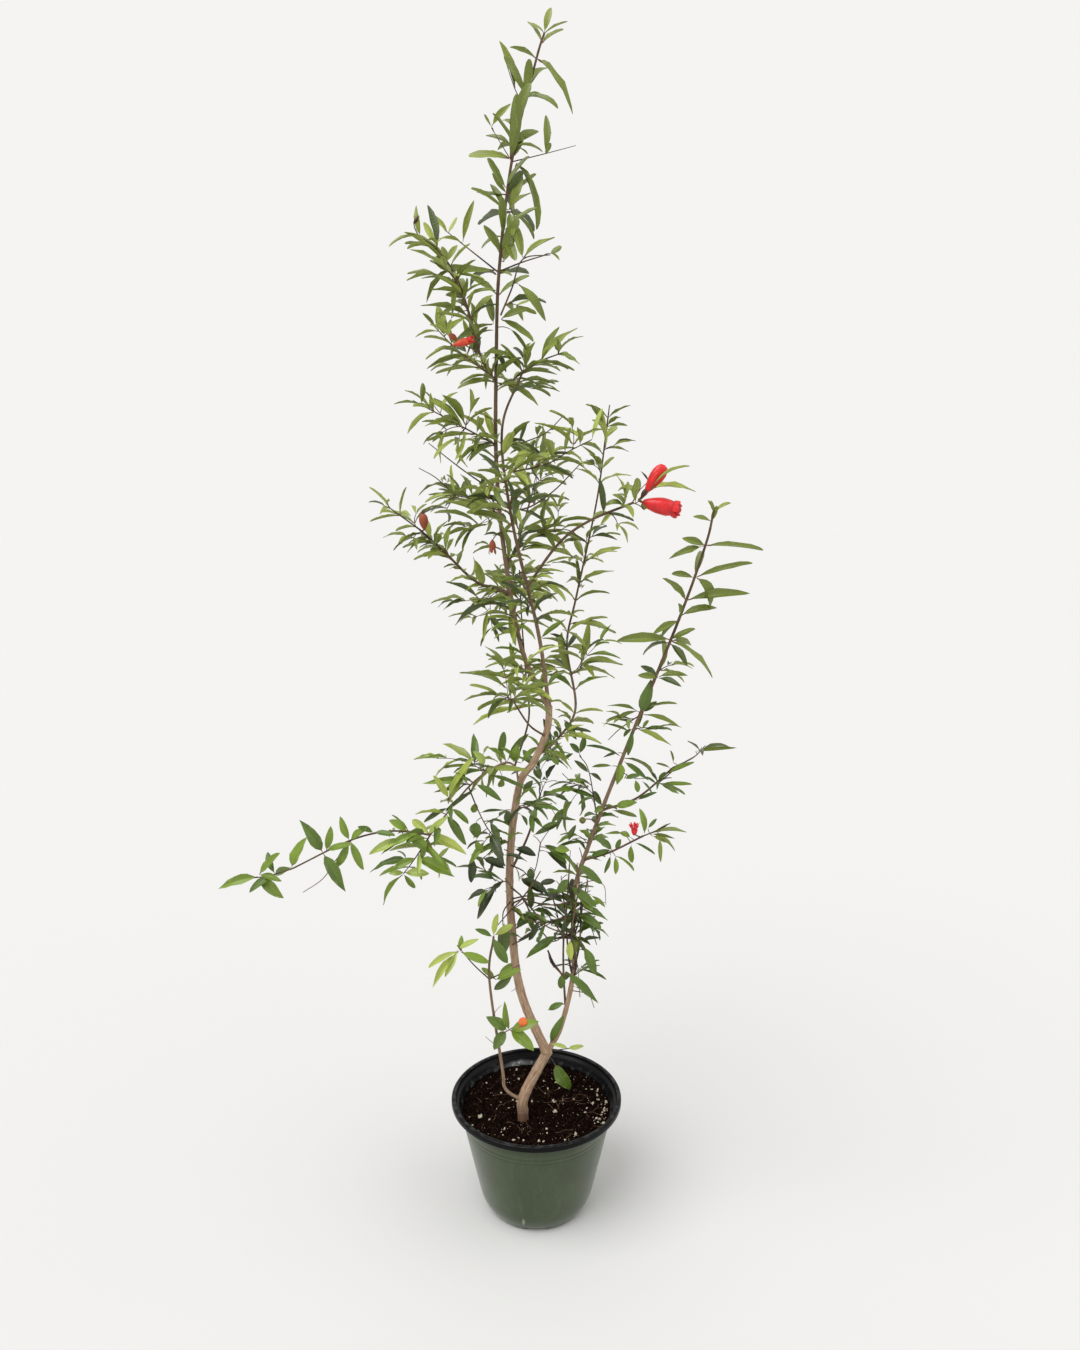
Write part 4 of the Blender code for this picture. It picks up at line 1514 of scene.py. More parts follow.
    "deep 28 20 471 | -7 4 24 5",
    "deep 16 20 478 | -42 -18 12 4",
    "forest 20 20 463 | 112 12 7 5 blunt",
    "grass 12 20 447 | -41 -8 13 6",
    "forest 23 20 439 | 38 20 14 4",
    "right_high_tips",
    "grass 75 34 392 | 16 4 23 9 broad",
    "mid 72 34 389 | -19 -18 28 6",
    "grass 120 34 411 | 4 12 30 5 | -27 -8 24 6 pointed",
    "forest 118 34 415 | 53 20 11 5",
    "grass 126 34 421 | 28 4 30 5",
    "forest 116 34 411 | 146 -18 13 4",
    "mid 132 34 432 | 101 12 13 3 narrow",
    "mid 129 34 427 | 160 -8 14 3 narrow",
    "mid 154 34 442 | 12 20 38 4",
    "right_low_tips",
    "grass 99 -10 379 | 96 4 25 7",
    "forest 102 -10 385 | 45 -18 12 4",
    "forest 97 -10 397 | 29 12 21 4 narrow",
    "grass 87 -10 374 | 150 -8 11 7",
    "mid 80 -10 377 | 169 20 17 3 narrow",
    "light 106 -10 378 | -18 4 18 6",
    "mid 105 -10 380 | 24 -18 21 3 narrow | -6 12 22 3 narrow",
    "grass 88 -10 367 | -88 -8 21 7",
    "forest 91 -10 369 | -22 20 21 3 narrow",
    "heart_right_spray",
    "forest 71 0 358 | 140 4 21 10 broad | -159 -18 22 6",
    "forest 70 0 352 | -109 12 18 4 narrow",
    "forest 74 0 359 | 63 -8 11 5",
    "grass 74 0 352 | -86 20 17 6 | -33 4 25 4 narrow",
    "forest 36 0 347 | 150 -18 34 7",
    "grass 32 0 358 | 167 12 15 8",
    "deep 30 0 367 | 68 -8 17 6",
    "deep 20 0 389 | 4 20 17 3 narrow",
    "forest 21 0 386 | -163 4 17 4",
    "near_left_spray",
    "mid -53 -4 440 | -176 -18 35 4 narrow",
    "grass -63 -4 428 | 176 12 42 7 pointed",
    "light -80 -4 408 | 64 -8 48 8",
    "pale -47 -4 442 | 123 20 17 9 broad",
    "forest -34 -4 447 | 78 4 26 8 blunt",
    "forest -27 -4 443 | 54 -18 34 7",
    "grass -21 -4 442 | 78 12 18 11 broad",
    "grass -14 -4 441 | 49 -8 22 6",
    "light -44 -4 437 | 7 20 37 6",
    "forest -43 -4 432 | -19 4 35 6",
    "grass -31 -4 429 | -102 -18 13 7",
    "forest -56 -4 425 | -28 12 29 7",
    "forest -69 -4 421 | -173 -8 29 3 narrow",
    "deep -55 -4 420 | -149 20 34 5",
    "deep -79 -14 405 | -151 4 28 5",
    "grass -78 -14 404 | -46 -18 24 7",
    "forest -55 -14 389 | -94 12 16 13 broad",
    "grass -55 -14 374 | -73 -8 16 8",
    "deep -43 -14 389 | -61 20 21 8",
    "deep -28 -14 395 | -78 4 18 10 broad",
    "grass -56 -14 407 | -101 -18 12 8",
    "deep -52 -14 397 | 12 12 24 3 narrow",
    "dark -49 -14 355 | -16 -8 24 7",
    "hanging_spray",
    "pale -98 -20 381 | 50 20 27 7",
    "pale -90 -20 356 | 54 4 16 5",
    "heart_inner_spray",
    "forest -15 0 391 | -60 -18 16 4",
    "dark -21 0 356 | -9 12 22 7",
    "deep -15 0 401 | -5 -8 22 6",
    "deep -12 0 411 | 61 20 16 7",
    "deep -3 0 372 | 28 4 28 6",
    "fork_tuft",
    "light 4 0 496 | -171 -18 36 5",
)

# %% Lay the listed leaves
HAND_FACING = Vector((0.1, -0.75, 0.65))
STALK_GAP = 3.0
SNAP_REACH = 12.0


def nearest_wood(foot):
    """The place on the wood that lies closest to a leaf's foot as seen from the front."""

    def apart(spot):
        way = spot[0] - foot
        return way.x**2 + way.z**2 + 0.15 * way.y**2

    return min(wood, key=apart)[0]


def fine_twig(start, end, radius_from, radius_to):
    """A thin side twig with a slight bow, too thin to bear more twigs."""
    middle = start.lerp(end, 0.5) + UP * (end - start).length * 0.1
    twig_lines.append(tapered(smooth_line((start, middle, end), 3.0), radius_from, radius_to))


def set_by_hand(mass, row):
    """Lays the leaves of one row, and a fine twig to its node where the wood is too far away."""
    node, *set_leaves = [part.split() for part in row.split("|")]
    tint = node[0]
    foot = Vector([float(number) for number in node[1:]])
    bearer = nearest_wood(foot)
    gap = math.hypot(bearer.x - foot.x, bearer.z - foot.z)
    if gap < SNAP_REACH:
        foot.y = bearer.y
    if gap > STALK_GAP:
        fine_twig(bearer, foot, 0.45, 0.3)
    for leaf in set_leaves:
        heading, lean, length, width = [float(number) for number in leaf[:4]]
        kind = leaf[4] if len(leaf) > 4 else "lance"
        flat = math.cos(math.radians(lean))
        across = math.radians(heading)
        along = Vector((math.cos(across) * flat, -math.sin(math.radians(lean)), math.sin(across) * flat))
        facing = HAND_FACING + Vector((draw.uniform(-0.4, 0.4), 0, draw.uniform(-0.3, 0.3)))
        lay_leaf(foot, along, facing, length / flat, width * draw.uniform(0.86, 1.0), kind, tint, mass)


draw = random.Random(5)
for row in HAND_SET:
    if "|" in row:
        set_by_hand(mass, row)
    else:
        mass = row
print("leaves set by hand", len(leaves))

# %% [markdown]
# ## Growing the rest of the crown
# Each mass of the model says where foliage is, and the spaces between the masses stay open. Shoots
# fill a mass by a rule much like a real bud's: a few goals are scattered in it with a least
# distance between them, and each goal is joined to the wood that reaches it most easily, at a
# slant and not straight out. The new shoot is wood in turn. A goal close to the wood becomes a
# short spur with a rosette of small leaves, as old pomegranate wood has.

# %% Zones of the crown
Zone = namedtuple("Zone", "length width gap flatness lift spacing shapes tints")
# leaf length, width share, gap between pairs, flatness, lift, spacing of goals, shapes, tints
ZONES = {
    "top": Zone(33, 0.22, 13, 0.8, 0.00, 24, "blunt lance lance narrow", "fresh light mid deep"),
    "high": Zone(
        43, 0.17, 12.5, 0.62, 0.14, 20, "lance lance narrow pointed", "fresh light light mid mid deep"
    ),
    "middle": Zone(
        45, 0.15, 11.5, 0.50, 0.10, 19, "lance lance lance narrow pointed", "fresh light light mid mid deep"
    ),
    "fork": Zone(
        42, 0.16, 11.5, 0.50, 0.08, 20, "lance lance narrow pointed", "fresh fresh light light grass deep"
    ),
    "right": Zone(38, 0.165, 12, 0.55, 0.05, 21, "lance lance pointed narrow", "light mid forest deep"),
    "heart": Zone(
        34, 0.24, 13, 0.7, -0.10, 19, "lance broad pointed lance", "grass forest forest forest dark"
    ),
    "left": Zone(40, 0.20, 11, 0.6, 0.02, 19, "pointed lance broad lance", "pale grass grass light forest"),
    "low": Zone(28, 0.34, 10, 0.7, 0.0, 22, "broad lance pointed", "grass forest fresh"),
}
ZONE_MASSES = {
    "top": "tip_tuft first_whorl second_whorl third_whorl",
    "high": "high_left_spray top_left_spray top_right_spray left_high_spray right_high_spray front_high_spray"
    " inner_tip_spray flower_spray",
    "middle": "far_left_spray left_mid_spray mid_spray back_high_spray back_mid_spray right_mid_spray"
    " front_mid_spray",
    "fork": "left_low_spray mid_low_spray right_low_spray fork_tuft fork_spray",
    "right": "right_top_spray right_mid_tuft right_stem_spray right_high_tips right_low_tips",
    "heart": "heart_low_spray heart_foot_spray heart_mid_spray heart_left_spray heart_inner_spray"
    " heart_right_spray back_low_spray",
    "left": "near_left_spray hanging_spray arching_tips",
    "low": "side_tuft side_low_tuft",
}
# masses that are partly set from the list of leaves take only this share of the goals
SHARES = (
    (0.0, "tip_tuft right_top_spray side_tuft side_low_tuft"),
    (0.05, "arching_tips"),
    (0.1, "first_whorl"),
    (0.15, "second_whorl"),
    (0.2, "right_mid_tuft heart_foot_spray"),
    (0.25, "right_stem_spray"),
    (0.3, "third_whorl right_high_tips right_low_tips"),
    (0.36, "heart_low_spray"),
    (0.45, "hanging_spray"),
    (0.5, "heart_mid_spray high_left_spray"),
    (0.55, "heart_right_spray right_high_spray"),
    (0.6, "back_low_spray heart_inner_spray flower_spray front_mid_spray"),
    (0.65, "near_left_spray"),
    (0.75, "left_high_spray fork_tuft"),
)
SPARSE = {mass: share for share, names in SHARES for mass in names.split()}
mass_zone = {mass: zone for zone, names in ZONE_MASSES.items() for mass in names.split()}
print("masses to fill", len(mass_zone), "of them sparse", len(SPARSE))

# %% Goals in a mass
GOAL_TRIES = 500
GOAL_DEPTH = 3


def solid_of(node):
    """A search tree over a CAD node's faces, in millimetres."""
    mesh = frame["nodes"][node].data
    points = [vertex.co / MM for vertex in mesh.vertices]
    return BVHTree.FromPolygons(points, [tuple(face.vertices) for face in mesh.polygons])


def depth_in(solid, place):
    """How deep a place is inside a solid, or less than 0 outside it."""
    spot, normal, _, distance = solid.find_nearest(place)
    return distance if (place - spot).dot(normal) < 0 else -distance


def goals_in(solid, node, spacing, wanted):
    """Scattered goals inside a mass, at least the spacing apart."""
    low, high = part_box(node)
    chosen = []
    for i in range(GOAL_TRIES):
        place = Vector([draw.uniform(a, b) / MM for a, b in zip(low, high)])
        if depth_in(solid, place) > GOAL_DEPTH and all((place - other).length > spacing for other in chosen):
            chosen.append(place)
    return chosen[: round(len(chosen) * wanted)]


# %% The rule for shoots
LONGEST_SHOOT = 75.0


def best_start(goal):
    """The place on the wood from which a shoot reaches the goal most easily."""
    best = None
    for place, along, radius in wood:
        way = goal - place
        reach = way.length
        if reach > LONGEST_SHOOT or reach < 1.0:
            continue
        lean = way.dot(along) / reach
        cost = reach * (1 + 0.9 * (0.7 - lean) ** 2) * (1 + radius / 9)
        if best is None or cost < best[0]:
            best = (cost, place, along, radius, reach)
    return best


def bezier(start, bend, end, steps):
    """Points on a simple curve that leaves the start towards the bend."""
    shares = [k / steps for k in range(steps + 1)]
    return [start * (1 - t) ** 2 + bend * (2 * t * (1 - t)) + end * t**2 for t in shares]


# %% The rule for leaves
LEAST_APART = 7.2
LEAST_WIDTH = 3.6
TIP_OUT = 16.0
# how many leaves have a tint of their own and not their spray's
OWN_TINT = 0.35
# flowers and fruit as seen from the front, each with the room it keeps clear of leaves
KEEP_CLEAR = (
    (97, 696, 14),
    (104, 674, 15),
    (90, 679, 10),
    (-60, 811, 9),
    (-96, 661, 9),
    (90, 386, 8),
    (-38, 643, 8),
    (-12, 207, 7),
)
leaf_middles = []


def try_leaf(foot, along, facing, length, zone, solid, mass):
    """Lays a leaf if it keeps inside its mass, and clear of the leaves before it."""
    for share in (1.0, 0.8, 0.62):
        tip = foot + along * (length * share)
        if depth_in(solid, tip) > -TIP_OUT:
            break
    else:
        return
    length = length * share
    centre = foot + along * (length * 0.6)
    for x, z, room in KEEP_CLEAR:
        if min(math.hypot(part.x - x, part.z - z) for part in (centre, foot + along * length)) < room:
            return
    if any((centre - other).length_squared < LEAST_APART**2 for other in leaf_middles):
        return
    leaf_middles.append(centre)
    kind = draw.choice(zone.shapes.split())
    tint = draw.choice(zone.tints.split()) if draw.random() < OWN_TINT else spray_tint
    width = max(LEAST_WIDTH, length * zone.width * draw.uniform(0.8, 1.2))
    lay_leaf(foot, along, facing, length, width, kind, tint, mass)


def leaf_way(along, side, zone, spread):
    """A leaf's direction from the shoot's, laid flatter and then lifted a little."""
    slant = math.radians(spread)
    way = along * math.cos(slant) + side * math.sin(slant)
    way.z = way.z * zone.flatness + zone.lift + draw.gauss(0, 0.12)
    return way.normalized()


def facing_up():
    """The way a leaf's upper side faces: to the light, with some roll."""
    return Vector((draw.gauss(0, 0.35), draw.gauss(-0.15, 0.35), 1))


# %% Leaves on a shoot and on a spur
HALF_TURNS = (0, math.pi)


def closest_to(far, at):
    """The number of the point on a line that is closest to a distance along it."""
    return min(range(len(far)), key=lambda n: abs(far[n] - at))


def dress(points, zone, solid, mass, first):
    """Pairs of leaves along a shoot, each turned across the one before, and a tuft at its tip."""
    far = distances(points)
    frames = turned_frames(points)
    turn = draw.uniform(0, math.pi)
    at = far[-1] * first
    while at < far[-1] - 2:
        i = closest_to(far, at)
        grown_share = 1.0 - 0.35 * (at / far[-1]) ** 3
        for half in HALF_TURNS:
            way = leaf_way(frames[i][0], outward(frames[i], turn + half), zone, draw.uniform(42, 66))
            long = zone.length * draw.uniform(0.7, 1.15) * grown_share
            try_leaf(points[i], way, facing_up(), long, zone, solid, mass)
        turn += math.pi / 2 + draw.gauss(0, 0.2)
        at += zone.gap * draw.uniform(0.8, 1.25)
    for k in range(draw.choice((2, 3, 3))):
        way = leaf_way(frames[-1][0], outward(frames[-1], turn + k * 2.1), zone, draw.uniform(12, 40))
        try_leaf(points[-1], way, facing_up(), zone.length * draw.uniform(0.5, 0.85), zone, solid, mass)


def rosette(place, along, zone, solid, mass):
    """A spur's rosette of small leaves round one place on the wood."""
    side = along.cross(UP if abs(along.z) < 0.9 else FRONT).normalized()
    across = along.cross(side)
    turn = draw.uniform(0, 6)
    count = draw.choice((3, 4, 5))
    for k in range(count):
        out = outward((along, side, across), turn + 2 * math.pi * k / count)
        way = leaf_way(along, out, zone, draw.uniform(45, 80))
        try_leaf(place, way, facing_up(), zone.length * draw.uniform(0.5, 0.95), zone, solid, mass)


# %% Grow every mass
SPUR_REACH = 9.0

draw = random.Random(36)
spray_tint = "light"
solids = {mass: solid_of(mass) for mass in mass_zone}
shoots = 0
spurs = 0
for mass, zone_name in mass_zone.items():
    zone = ZONES[zone_name]
    solid = solids[mass]
    goals = goals_in(solid, mass, zone.spacing, SPARSE.get(mass, 1.0))
    goals.sort(key=lambda goal: min((goal - place).length for place, _, _ in wood))
    for goal in goals:
        found = best_start(goal)
        if not found:
            continue
        _, start, along, radius, reach = found
        spray_tint = draw.choice(zone.tints.split())
        if reach < SPUR_REACH:
            rosette(start, along, zone, solid, mass)
            spurs += 1
            continue
        way = (goal - start).normalized()
        bend = start + (along * 0.45 + way * 0.8 + UP * 0.12) * reach * 0.42
        points = bezier(start, bend, goal, max(4, round(reach / 4)))
        add_twig(points, min(0.75, radius * 0.8, 0.42 + reach / 160), 0.32)
        dress(points, zone, solid, mass, first=0.25 if reach < 30 else 0.4)
        shoots += 1
print("shoots", shoots, "spurs", spurs, "leaves", len(leaves))

# %% [markdown]
# ## Bare twigs in the heart
# Low in the crown, where it is shaded, a young tree is full of thin twigs that have lost their
# leaves. They grow by the same rule, with a random bow and no leaves.

# %% The tangle
TANGLE = {
    "heart_low_spray": 46,
    "heart_mid_spray": 18,
    "heart_left_spray": 26,
    "heart_inner_spray": 22,
    "heart_foot_spray": 12,
    "back_low_spray": 8,
    "heart_right_spray": 10,
}

draw = random.Random(19)
for mass, count in TANGLE.items():
    low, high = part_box(mass)
    for i in range(count):
        goal = Vector([draw.uniform(a, b) / MM for a, b in zip(low, high)])
        found = best_start(goal)
        if not found or depth_in(solids[mass], goal) < 0:
            continue
        _, start, along, radius, reach = found
        sway = Vector((draw.gauss(0, 0.2), draw.gauss(0, 0.2), draw.gauss(0.05, 0.2)))
        way = (goal - start).normalized()
        bend = start + (along * 0.4 + way * 0.7 + sway) * reach * 0.5
        add_twig(bezier(start, bend, goal, max(4, round(reach / 5))), min(0.75, radius * 0.85), 0.4)
print("twig lines", len(twig_lines))

# %% [markdown]
# ## Leaves along the limbs and listed twigs
# Young limbs carry pairs of leaves too. They grow only where the limb runs through a mass, so the
# bare stretches stay bare.

# %% Leaves on the young wood
LIMB_GAP = 12.0
LIMB_REACH = 9.0
BARE_BELOW = 175.0
LEAST_SHARE = 0.35

boxes = {mass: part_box(mass) for mass in solids}


def close_to(mass, place):
    """Whether a place is within reach of a mass's box."""
    low, high = boxes[mass]
    return all(a / MM - LIMB_REACH < value < b / MM + LIMB_REACH for value, a, b in zip(place, low, high))


def mass_at(place):
    """The mass that a place on the young wood is in or next to, if leaves grow there."""
    near = [name for name in solids if close_to(name, place)]
    if not near or place.z < BARE_BELOW:
        return None
    mass = max(near, key=lambda name: depth_in(solids[name], place))
    if depth_in(solids[mass], place) < -LIMB_REACH or SPARSE.get(mass, 1.0) < LEAST_SHARE:
        return None
    return mass


draw = random.Random(47)
young_lines = [limb_lines[name] for name in LIMBS if name not in ("trunk", "main_stem")]
young_lines += [smooth_line(places, 4.0) for _, _, *places in TWIGS]
before = len(leaves)
for points in young_lines:
    far = distances(points)
    frames = turned_frames(points)
    at = 4.0
    turn = draw.uniform(0, 3)
    while at < far[-1]:
        i = closest_to(far, at)
        at += LIMB_GAP * draw.uniform(0.8, 1.4)
        turn += math.pi / 2
        mass = mass_at(points[i])
        if not mass:
            continue
        zone = ZONES[mass_zone[mass]]
        spray_tint = draw.choice(zone.tints.split())
        for half in HALF_TURNS:
            way = leaf_way(frames[i][0], outward(frames[i], turn + half), zone, draw.uniform(45, 70))
            facing = facing_up()
            long = zone.length * draw.uniform(0.6, 1.05)
            try_leaf(points[i], way, facing, long, zone, solids[mass], mass)
print("leaves on the young wood", len(leaves) - before, "in all", len(leaves))

# %% [markdown]
# ## The leafy bough on the left
# One bough stands out against the background and is set with small leaves all the way. It gets
# pairs of its own at short steps, each turned a quarter round from the one before.

# %% Pairs along the upper left bough
BOUGH_GAP = 8.0
BOUGH_TINTS = ("grass", "light", "fresh", "light", "mid", "grass")
BOUGH_SHAPES = ("lance", "broad", "pointed")

draw = random.Random(12)
points = limb_lines["upper_left_bough"]
far = distances(points)
frames = turned_frames(points)
at = 10.0
turn = 0.4
while at < far[-1] - 12:
    i = closest_to(far, at)
    at += BOUGH_GAP * draw.uniform(0.8, 1.2)
    turn += math.pi / 2 + draw.gauss(0, 0.3)
    for half in HALF_TURNS:
        out = outward(frames[i], turn + half)
        way = leaf_way(frames[i][0], out, ZONES["middle"], draw.uniform(40, 65))
        long = draw.uniform(15, 29)
        tint = draw.choice(BOUGH_TINTS)
        kind = draw.choice(BOUGH_SHAPES)
        facing = facing_up()
        width = long * draw.uniform(0.25, 0.38)
        lay_leaf(points[i], way, facing, long, width, kind, tint, "far_left_spray")
print("with the bough's pairs", len(leaves))

# %% [markdown]
# ## Flowers, buds and fruit
# A pomegranate flower is a fleshy red tube that opens into pointed lobes with crumpled petals in
# its mouth. Each part is lofted: rings along a short line, as wide and as deep as the part is. A
# bud is a single round body, and the young fruit is a ball that keeps the flower's little crown.
# The mark of each part picks its colour from the finish.

# %% Parts of a flower
ORANGE = 0.2
SCARLET = 0.6
CRIMSON = 1.0
OLIVE = 0.0
FRUIT = 0.33
RUSSET = 0.66
DRIED = 1.0
PETAL_THICKNESS = 0.3


def loft(skin, line, widths, depths, mark, facing=None, sides=12, ruffle=0.0):
    """A closed body along a line, as wide and as deep at each point as given."""
    rings = []
    for i, (along, side, across) in enumerate(turned_frames(line)):
        if facing:
            side = along.cross(facing).normalized()
            across = side.cross(along)
        ring = []
        for j in range(sides):
            turn = 2 * math.pi * j / sides
            out = side * (widths[i] * math.cos(turn)) + across * (depths[i] * math.sin(turn))
            wave = ruffle * noise.noise((line[i] + out) / 2.6)
            ring.append(line[i] + out + across * wave * i / len(line))
        rings.append(ring)
    start = line[0] + (line[0] - line[1]).normalized() * depths[0] * 0.4
    end = line[-1] + (line[-1] - line[-2]).normalized() * depths[-1] * 0.5
    skin.body(start, rings, end, marks=[mark] * len(rings))


def fullness(share, widest):
    """How full a bud is along its length, from 0 at both ends to 1 where it is widest."""
    rise = widest * 1.5
    fall = (1 - widest) * 1.5
    return (share**rise * (1 - share) ** fall) / (widest**rise * (1 - widest) ** fall)


def bud(skin, foot, tip, radius, mark, widest=0.5, flat=1.0):
    """A round or drawn-out body between two places."""
    shares = [0.03, 0.12, 0.26, 0.42, 0.58, 0.74, 0.87, 0.96]
    line = [foot.lerp(tip, share) for share in shares]
    widths = [radius * fullness(share, widest) for share in shares]
    loft(skin, line, widths, [w * flat for w in widths], mark, facing=FRONT)


def petal(skin, foot, way, facing, length, width, mark, droop, ruffle):
    """A thin crumpled petal that bends over towards its tip."""
    shares = [0.0, 0.25, 0.5, 0.75, 0.95]
    outline = [0.35, 0.8, 1.0, 0.85, 0.35]
    line = [foot + way * (length * t) - facing * (droop * length * t * t) for t in shares]
    widths = [width / 2 * part for part in outline]
    loft(skin, line, widths, [PETAL_THICKNESS] * len(line), mark, facing, sides=10, ruffle=ruffle)


def crown(skin, mouth, way, radius, length, count, mark, spread, droop, width, ruffle):
    """Lobes or petals round the mouth of a flower."""
    side = way.cross(UP if abs(way.z) < 0.9 else FRONT).normalized()
    across = way.cross(side)
    for k in range(count):
        angle = 2 * math.pi * (k + draw.uniform(-0.12, 0.12)) / count
        out = outward((way, side, across), angle)
        leaning = (way + out * spread).normalized()
        facing = (out - leaning * out.dot(leaning)).normalized()
        reach = length * draw.uniform(0.85, 1.15)
        petal(skin, mouth + out * radius, leaning, -facing, reach, width, mark, -droop, ruffle)


def tube(skin, foot, mouth, radii, mark):
    """A fleshy calyx tube, swollen where its radii say."""
    count = len(radii)
    line = [foot.lerp(mouth, k / (count - 1)) for k in range(count)]
    loft(skin, line, radii, radii, mark, sides=16, ruffle=0.6)


# %% Stalks of the flowers and buds
STALK_LINES = (
    (0.9, 0.9, (84, -60, 679), (87, -61, 682), (89, -62, 685)),
    (1.0, 1.2, (84, -60, 679), (86, -61, 678), (88, -62, 677)),
    (0.5, 0.5, (-47, -12, 803), (-55, -18, 806), (-61, -23, 808)),
    (0.6, 0.7, (-99, -25, 654), (-97, -29, 654), (-95, -31, 655)),
    (0.5, 0.6, (97, -14, 376), (93, -14, 377), (90, -14, 379)),
    (0.5, 0.5, (19, -17, 801), (19, -18, 803), (19, -18, 805)),
    (0.5, 0.5, (57, 23, 379), (50, 21, 382), (45, 20, 382)),
    (0.5, 0.5, (-31, 7, 652), (-35, -4, 650), (-38, -13, 646)),
)
for radius_from, radius_to, *places in STALK_LINES:
    twig_lines.append(tapered(smooth_line(places, 3.0), radius_from, radius_to))
print("stalks", len(STALK_LINES))

# %% The two large flowers
draw = random.Random(3)
blossom = Skin()
fruit = Skin()
bud(blossom, Vector((88, -62, 683)), Vector((105, -64, 707)), 6.2, SCARLET, widest=0.68, flat=0.6)
# painted highlight: a smaller, slightly oranger body laid on the front of the upper bud
bud(blossom, Vector((90, -64, 685)), Vector((101, -66, 703)), 3.0, SCARLET - 0.1, widest=0.6, flat=0.6)
bud(fruit, Vector((86, -62, 681)), Vector((92, -62, 689)), 2.4, DRIED, widest=0.5)
mouth = Vector((111, -63, 672.5))
tube(blossom, Vector((88, -62, 677)), mouth, [2.6, 4.3, 5.6, 6.5, 7.0, 7.1, 6.3], SCARLET)
opening = Vector((0.95, -0.1, -0.25)).normalized()
crown(blossom, mouth - opening * 1.5, opening, 5.0, 8, 6, SCARLET, 0.2, -0.15, 7.0, 0.5)
crown(blossom, mouth, opening, 2.6, 8, 6, CRIMSON, 0.4, 0.2, 7.5, 2.4)
bud(fruit, Vector((86, -61, 675)), Vector((92, -62, 674)), 3.4, OLIVE, widest=0.5)

# %% Small flowers, buds and fruit
bud(blossom, Vector((-70, -24, 807)), Vector((-52, -22, 812)), 3.3, ORANGE, widest=0.6, flat=0.8)
opening = Vector((0.95, -0.1, 0.25)).normalized()
crown(blossom, Vector((-57, -23, 811)), opening, 1.8, 5, 5, SCARLET, 0.3, 0.2, 3.4, 0.8)
bud(fruit, Vector((-66, -21, 812)), Vector((-73, -20, 817)), 2.6, RUSSET, widest=0.5)
bud(fruit, Vector((-95, -31, 654)), Vector((-96, -33, 669)), 4.0, RUSSET, widest=0.6)
bud(fruit, Vector((-96, -33, 667)), Vector((-96, -33, 672)), 1.4, DRIED, widest=0.4)
tube(blossom, Vector((90, -14, 378)), Vector((90, -14, 384)), [1.4, 2.4, 3.0, 2.8], SCARLET)
opening = Vector((-0.1, -0.2, 1)).normalized()
crown(blossom, Vector((90, -14, 383)), opening, 1.8, 7, 9, SCARLET + 0.15, 0.6, 0.1, 2.6, 1.2)
bud(fruit, Vector((19, -18, 803.6)), Vector((19, -18, 810.4)), 3.3, OLIVE)
bud(fruit, Vector((44, 20, 377.6)), Vector((44, 20, 384.4)), 3.3, OLIVE)
tube(fruit, Vector((-38, -14, 646)), Vector((-38, -15, 638)), [0.9, 2.6, 3.2, 2.4], RUSSET)
crown(fruit, Vector((-38, -15, 640)), Vector((0, -0.1, -1)), 1.8, 6, 5, RUSSET, 0.5, 0.3, 2.4, 0.6)
bud(fruit, Vector((155, -12, 670)), Vector((152, -12, 680)), 1.6, OLIVE)
bud(fruit, Vector((-98, -40, 898)), Vector((-93, -41, 904)), 1.4, DRIED, widest=0.4)
bud(fruit, Vector((-12, -38, 202.5)), Vector((-12, -38, 211.5)), 4.6, FRUIT)
opening = Vector((-0.5, -0.3, -0.8)).normalized()
crown(fruit, Vector((-14, -39, 203.6)), opening, 0.9, 3, 5, FRUIT, 0.3, 0.2, 1.5, 0.2)
print("points of the flowers and fruit", len(blossom.points) + len(fruit.points))

# %% Finishes of petals and rinds
petals, tree, shader, where = finish("petals", 0.34, 0.5)
mark = mark_of(tree)
colour = mix(tree, rescale(tree, mark, 0.0, 0.5), rgb(230, 96, 48), rgb(218, 28, 24))
colour = mix(tree, rescale(tree, mark, 0.5, 1.0), colour, rgb(214, 30, 52))
shade = rescale(tree, grain(tree, where, 210, 4, 0.6), 0.42, 0.7, 0.0, 0.6)
colour = mix(tree, shade, colour, rgb(160, 14, 22))
feed(tree, shader, colour, relief(tree, grain(tree, where, 500, 3), 0.0004, 0.6))
rinds, tree, shader, where = finish("rinds", 0.5, 0.35)
mark = mark_of(tree)
colour = mix(tree, rescale(tree, mark, 0.0, 0.33), rgb(112, 124, 56), rgb(230, 116, 54))
colour = mix(tree, rescale(tree, mark, 0.33, 0.66), colour, rgb(150, 74, 46))
colour = mix(tree, rescale(tree, mark, 0.66, 1.0), colour, rgb(64, 40, 32))
blush = rescale(tree, grain(tree, where, 190, 4), 0.42, 0.7, 0.0, 0.5)
colour = mix(tree, blush, colour, rgb(122, 60, 36))
feed(tree, shader, colour, relief(tree, grain(tree, where, 700, 3), 0.0003, 0.6))
place_piece("blossom", blossom.mesh("blossom", [petals]), [])
place_piece("buds_and_fruit", fruit.mesh("buds_and_fruit", [rinds]), [])

# %% [markdown]
# ## Leaf finishes
# Each tint is a material of its own on a piece of its own, dealt out by spray, so the colours stay
# where they are on any kind of mesh. Inside a tint, the leaf's map gives the pale midrib, the side
# veins, the duller underside and painted shade on one half of the upper side, and soft noise keeps
# neighbours from matching exactly.

# %% Leaf materials
TINTS = {
    "fresh": (172, 186, 82),
    "light": (144, 158, 64),
    "mid": (118, 134, 48),
    "deep": (78, 94, 38),
    "pale": (170, 188, 92),
    "grass": (120, 146, 42),
    "forest": (88, 114, 34),
    "dark": (54, 66, 28),
}
STALK_COLOUR = rgb(120, 66, 48)
VEIN_PITCH = 85.0
VEIN_SLANT = 9.0


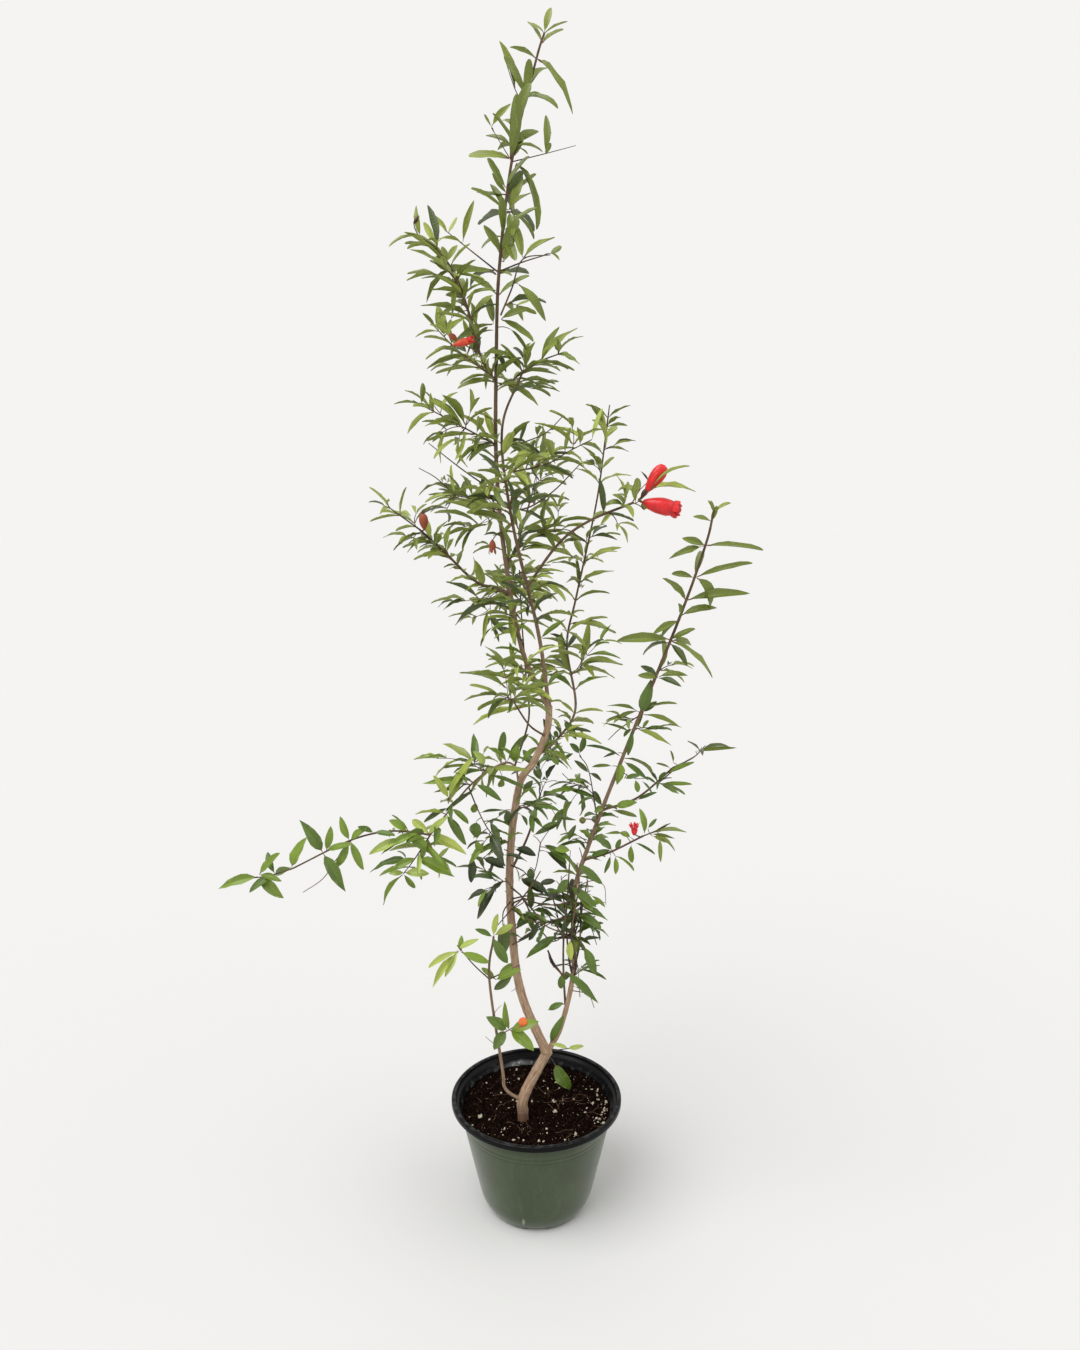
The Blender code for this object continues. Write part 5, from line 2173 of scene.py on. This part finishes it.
def leaf_finish(name, tint):
    """A waxy leaf in one tint, with its midrib, veins, underside and painted shade on one half of its upper
    side.
    """

    def toned(share, lift=0):
        """The tint made darker or lighter."""
        return rgb(*[value * share + lift for value in tint])

    made, tree, shader, where = finish(name, 0.32, 0.5)
    over = add(tree, "ShaderNodeUVMap", uv_map="UVMap").outputs["UV"]
    parts = add(tree, "ShaderNodeSeparateXYZ", {0: over})
    around = parts.outputs["X"]
    along = parts.outputs["Y"]
    under = reckon(tree, "GREATER_THAN", around, 0.5)
    doubled = reckon(tree, "MULTIPLY", reckon(tree, "FRACT", reckon(tree, "MULTIPLY", around, 2.0)), 2.0)
    across = reckon(tree, "ABSOLUTE", reckon(tree, "SUBTRACT", doubled, 1.0))
    rib = rescale(tree, across, 0.03, 0.11, 1.0, 0.0)
    sideways = reckon(tree, "MULTIPLY", across, VEIN_SLANT)
    slant = reckon(tree, "SUBTRACT", reckon(tree, "MULTIPLY", along, VEIN_PITCH), sideways)
    veins = rescale(tree, reckon(tree, "SINE", slant), 0.55, 1.0)
    clouds = rescale(tree, grain(tree, where, 38, 3), 0.35, 0.65)
    colour = mix(tree, clouds, toned(1.0), toned(0.86))
    colour = lay_over(tree, colour, veins, 0.16, toned(1.2, 10))
    colour = lay_over(tree, colour, rib, 0.4, toned(1.2, 18))
    colour = lay_over(tree, colour, under, 0.6, toned(0.86, 26))
    # painted shade: one half of the upper side is darker, as on a folded leaf turned from the light
    shaded_half = reckon(tree, "LESS_THAN", around, 0.25)
    colour = lay_over(tree, colour, shaded_half, 0.5, toned(0.8))
    stalk = rescale(tree, along, STALK * 0.8, STALK * 1.5, 0.8, 0.0)
    colour = mix(tree, stalk, colour, STALK_COLOUR)
    ridges = reckon(tree, "MULTIPLY", veins, -0.4)
    height = reckon(tree, "ADD", ridges, reckon(tree, "MULTIPLY", rib, -1.0))
    feed(tree, shader, colour, relief(tree, height, 0.0004, 0.6), rescale(tree, under, 0, 1, 0.3, 0.55))
    return made


# %% Set the leaves out
leaf_kinds = collection_of("leaf", leaf_meshes)
count_in = {mass: {tint: 0 for tint in TINTS} for mass in mass_zone}
for *_, tint, mass in leaves:
    count_in[mass][tint] += 1
home_of = {mass: max(counts, key=counts.get) for mass, counts in count_in.items()}
for tint, screen_colour in TINTS.items():
    spots = [leaf[:4] for leaf in leaves if leaf[4] == tint]
    mesh = copies_of(f"leaves_{tint}", spots, leaf_kinds, leaf_finish(f"leaf_{tint}", screen_colour))
    stands_for = [mass for mass, home in home_of.items() if home == tint]
    place_piece(f"leaves_{tint}", mesh, stands_for)
put_away(leaf_kinds)

# %% [markdown]
# ## Twigs
# All twig lines are drawn at once by the tube tree, as six-sided tubes. Young twigs are square and
# red-brown, and turn green towards their tips; here they are red-brown and olive-brown in soft patches.

# %% Draw the twigs
skin, tree, shader, where = finish("young_twigs", 0.55, 0.35)
colour = mix(tree, rescale(tree, grain(tree, where, 55, 3), 0.4, 0.62), rgb(54, 35, 33), rgb(98, 80, 52))
feed(tree, shader, colour, relief(tree, grain(tree, where, 900, 3), 0.0002, 0.5))
place_piece("twigs", tubes_of("twigs", twig_lines, 6, skin), [])

# %% [markdown]
# ## The last lines
# The view layer is brought up to date at the end.

# %% Finish
bpy.context.view_layer.update()
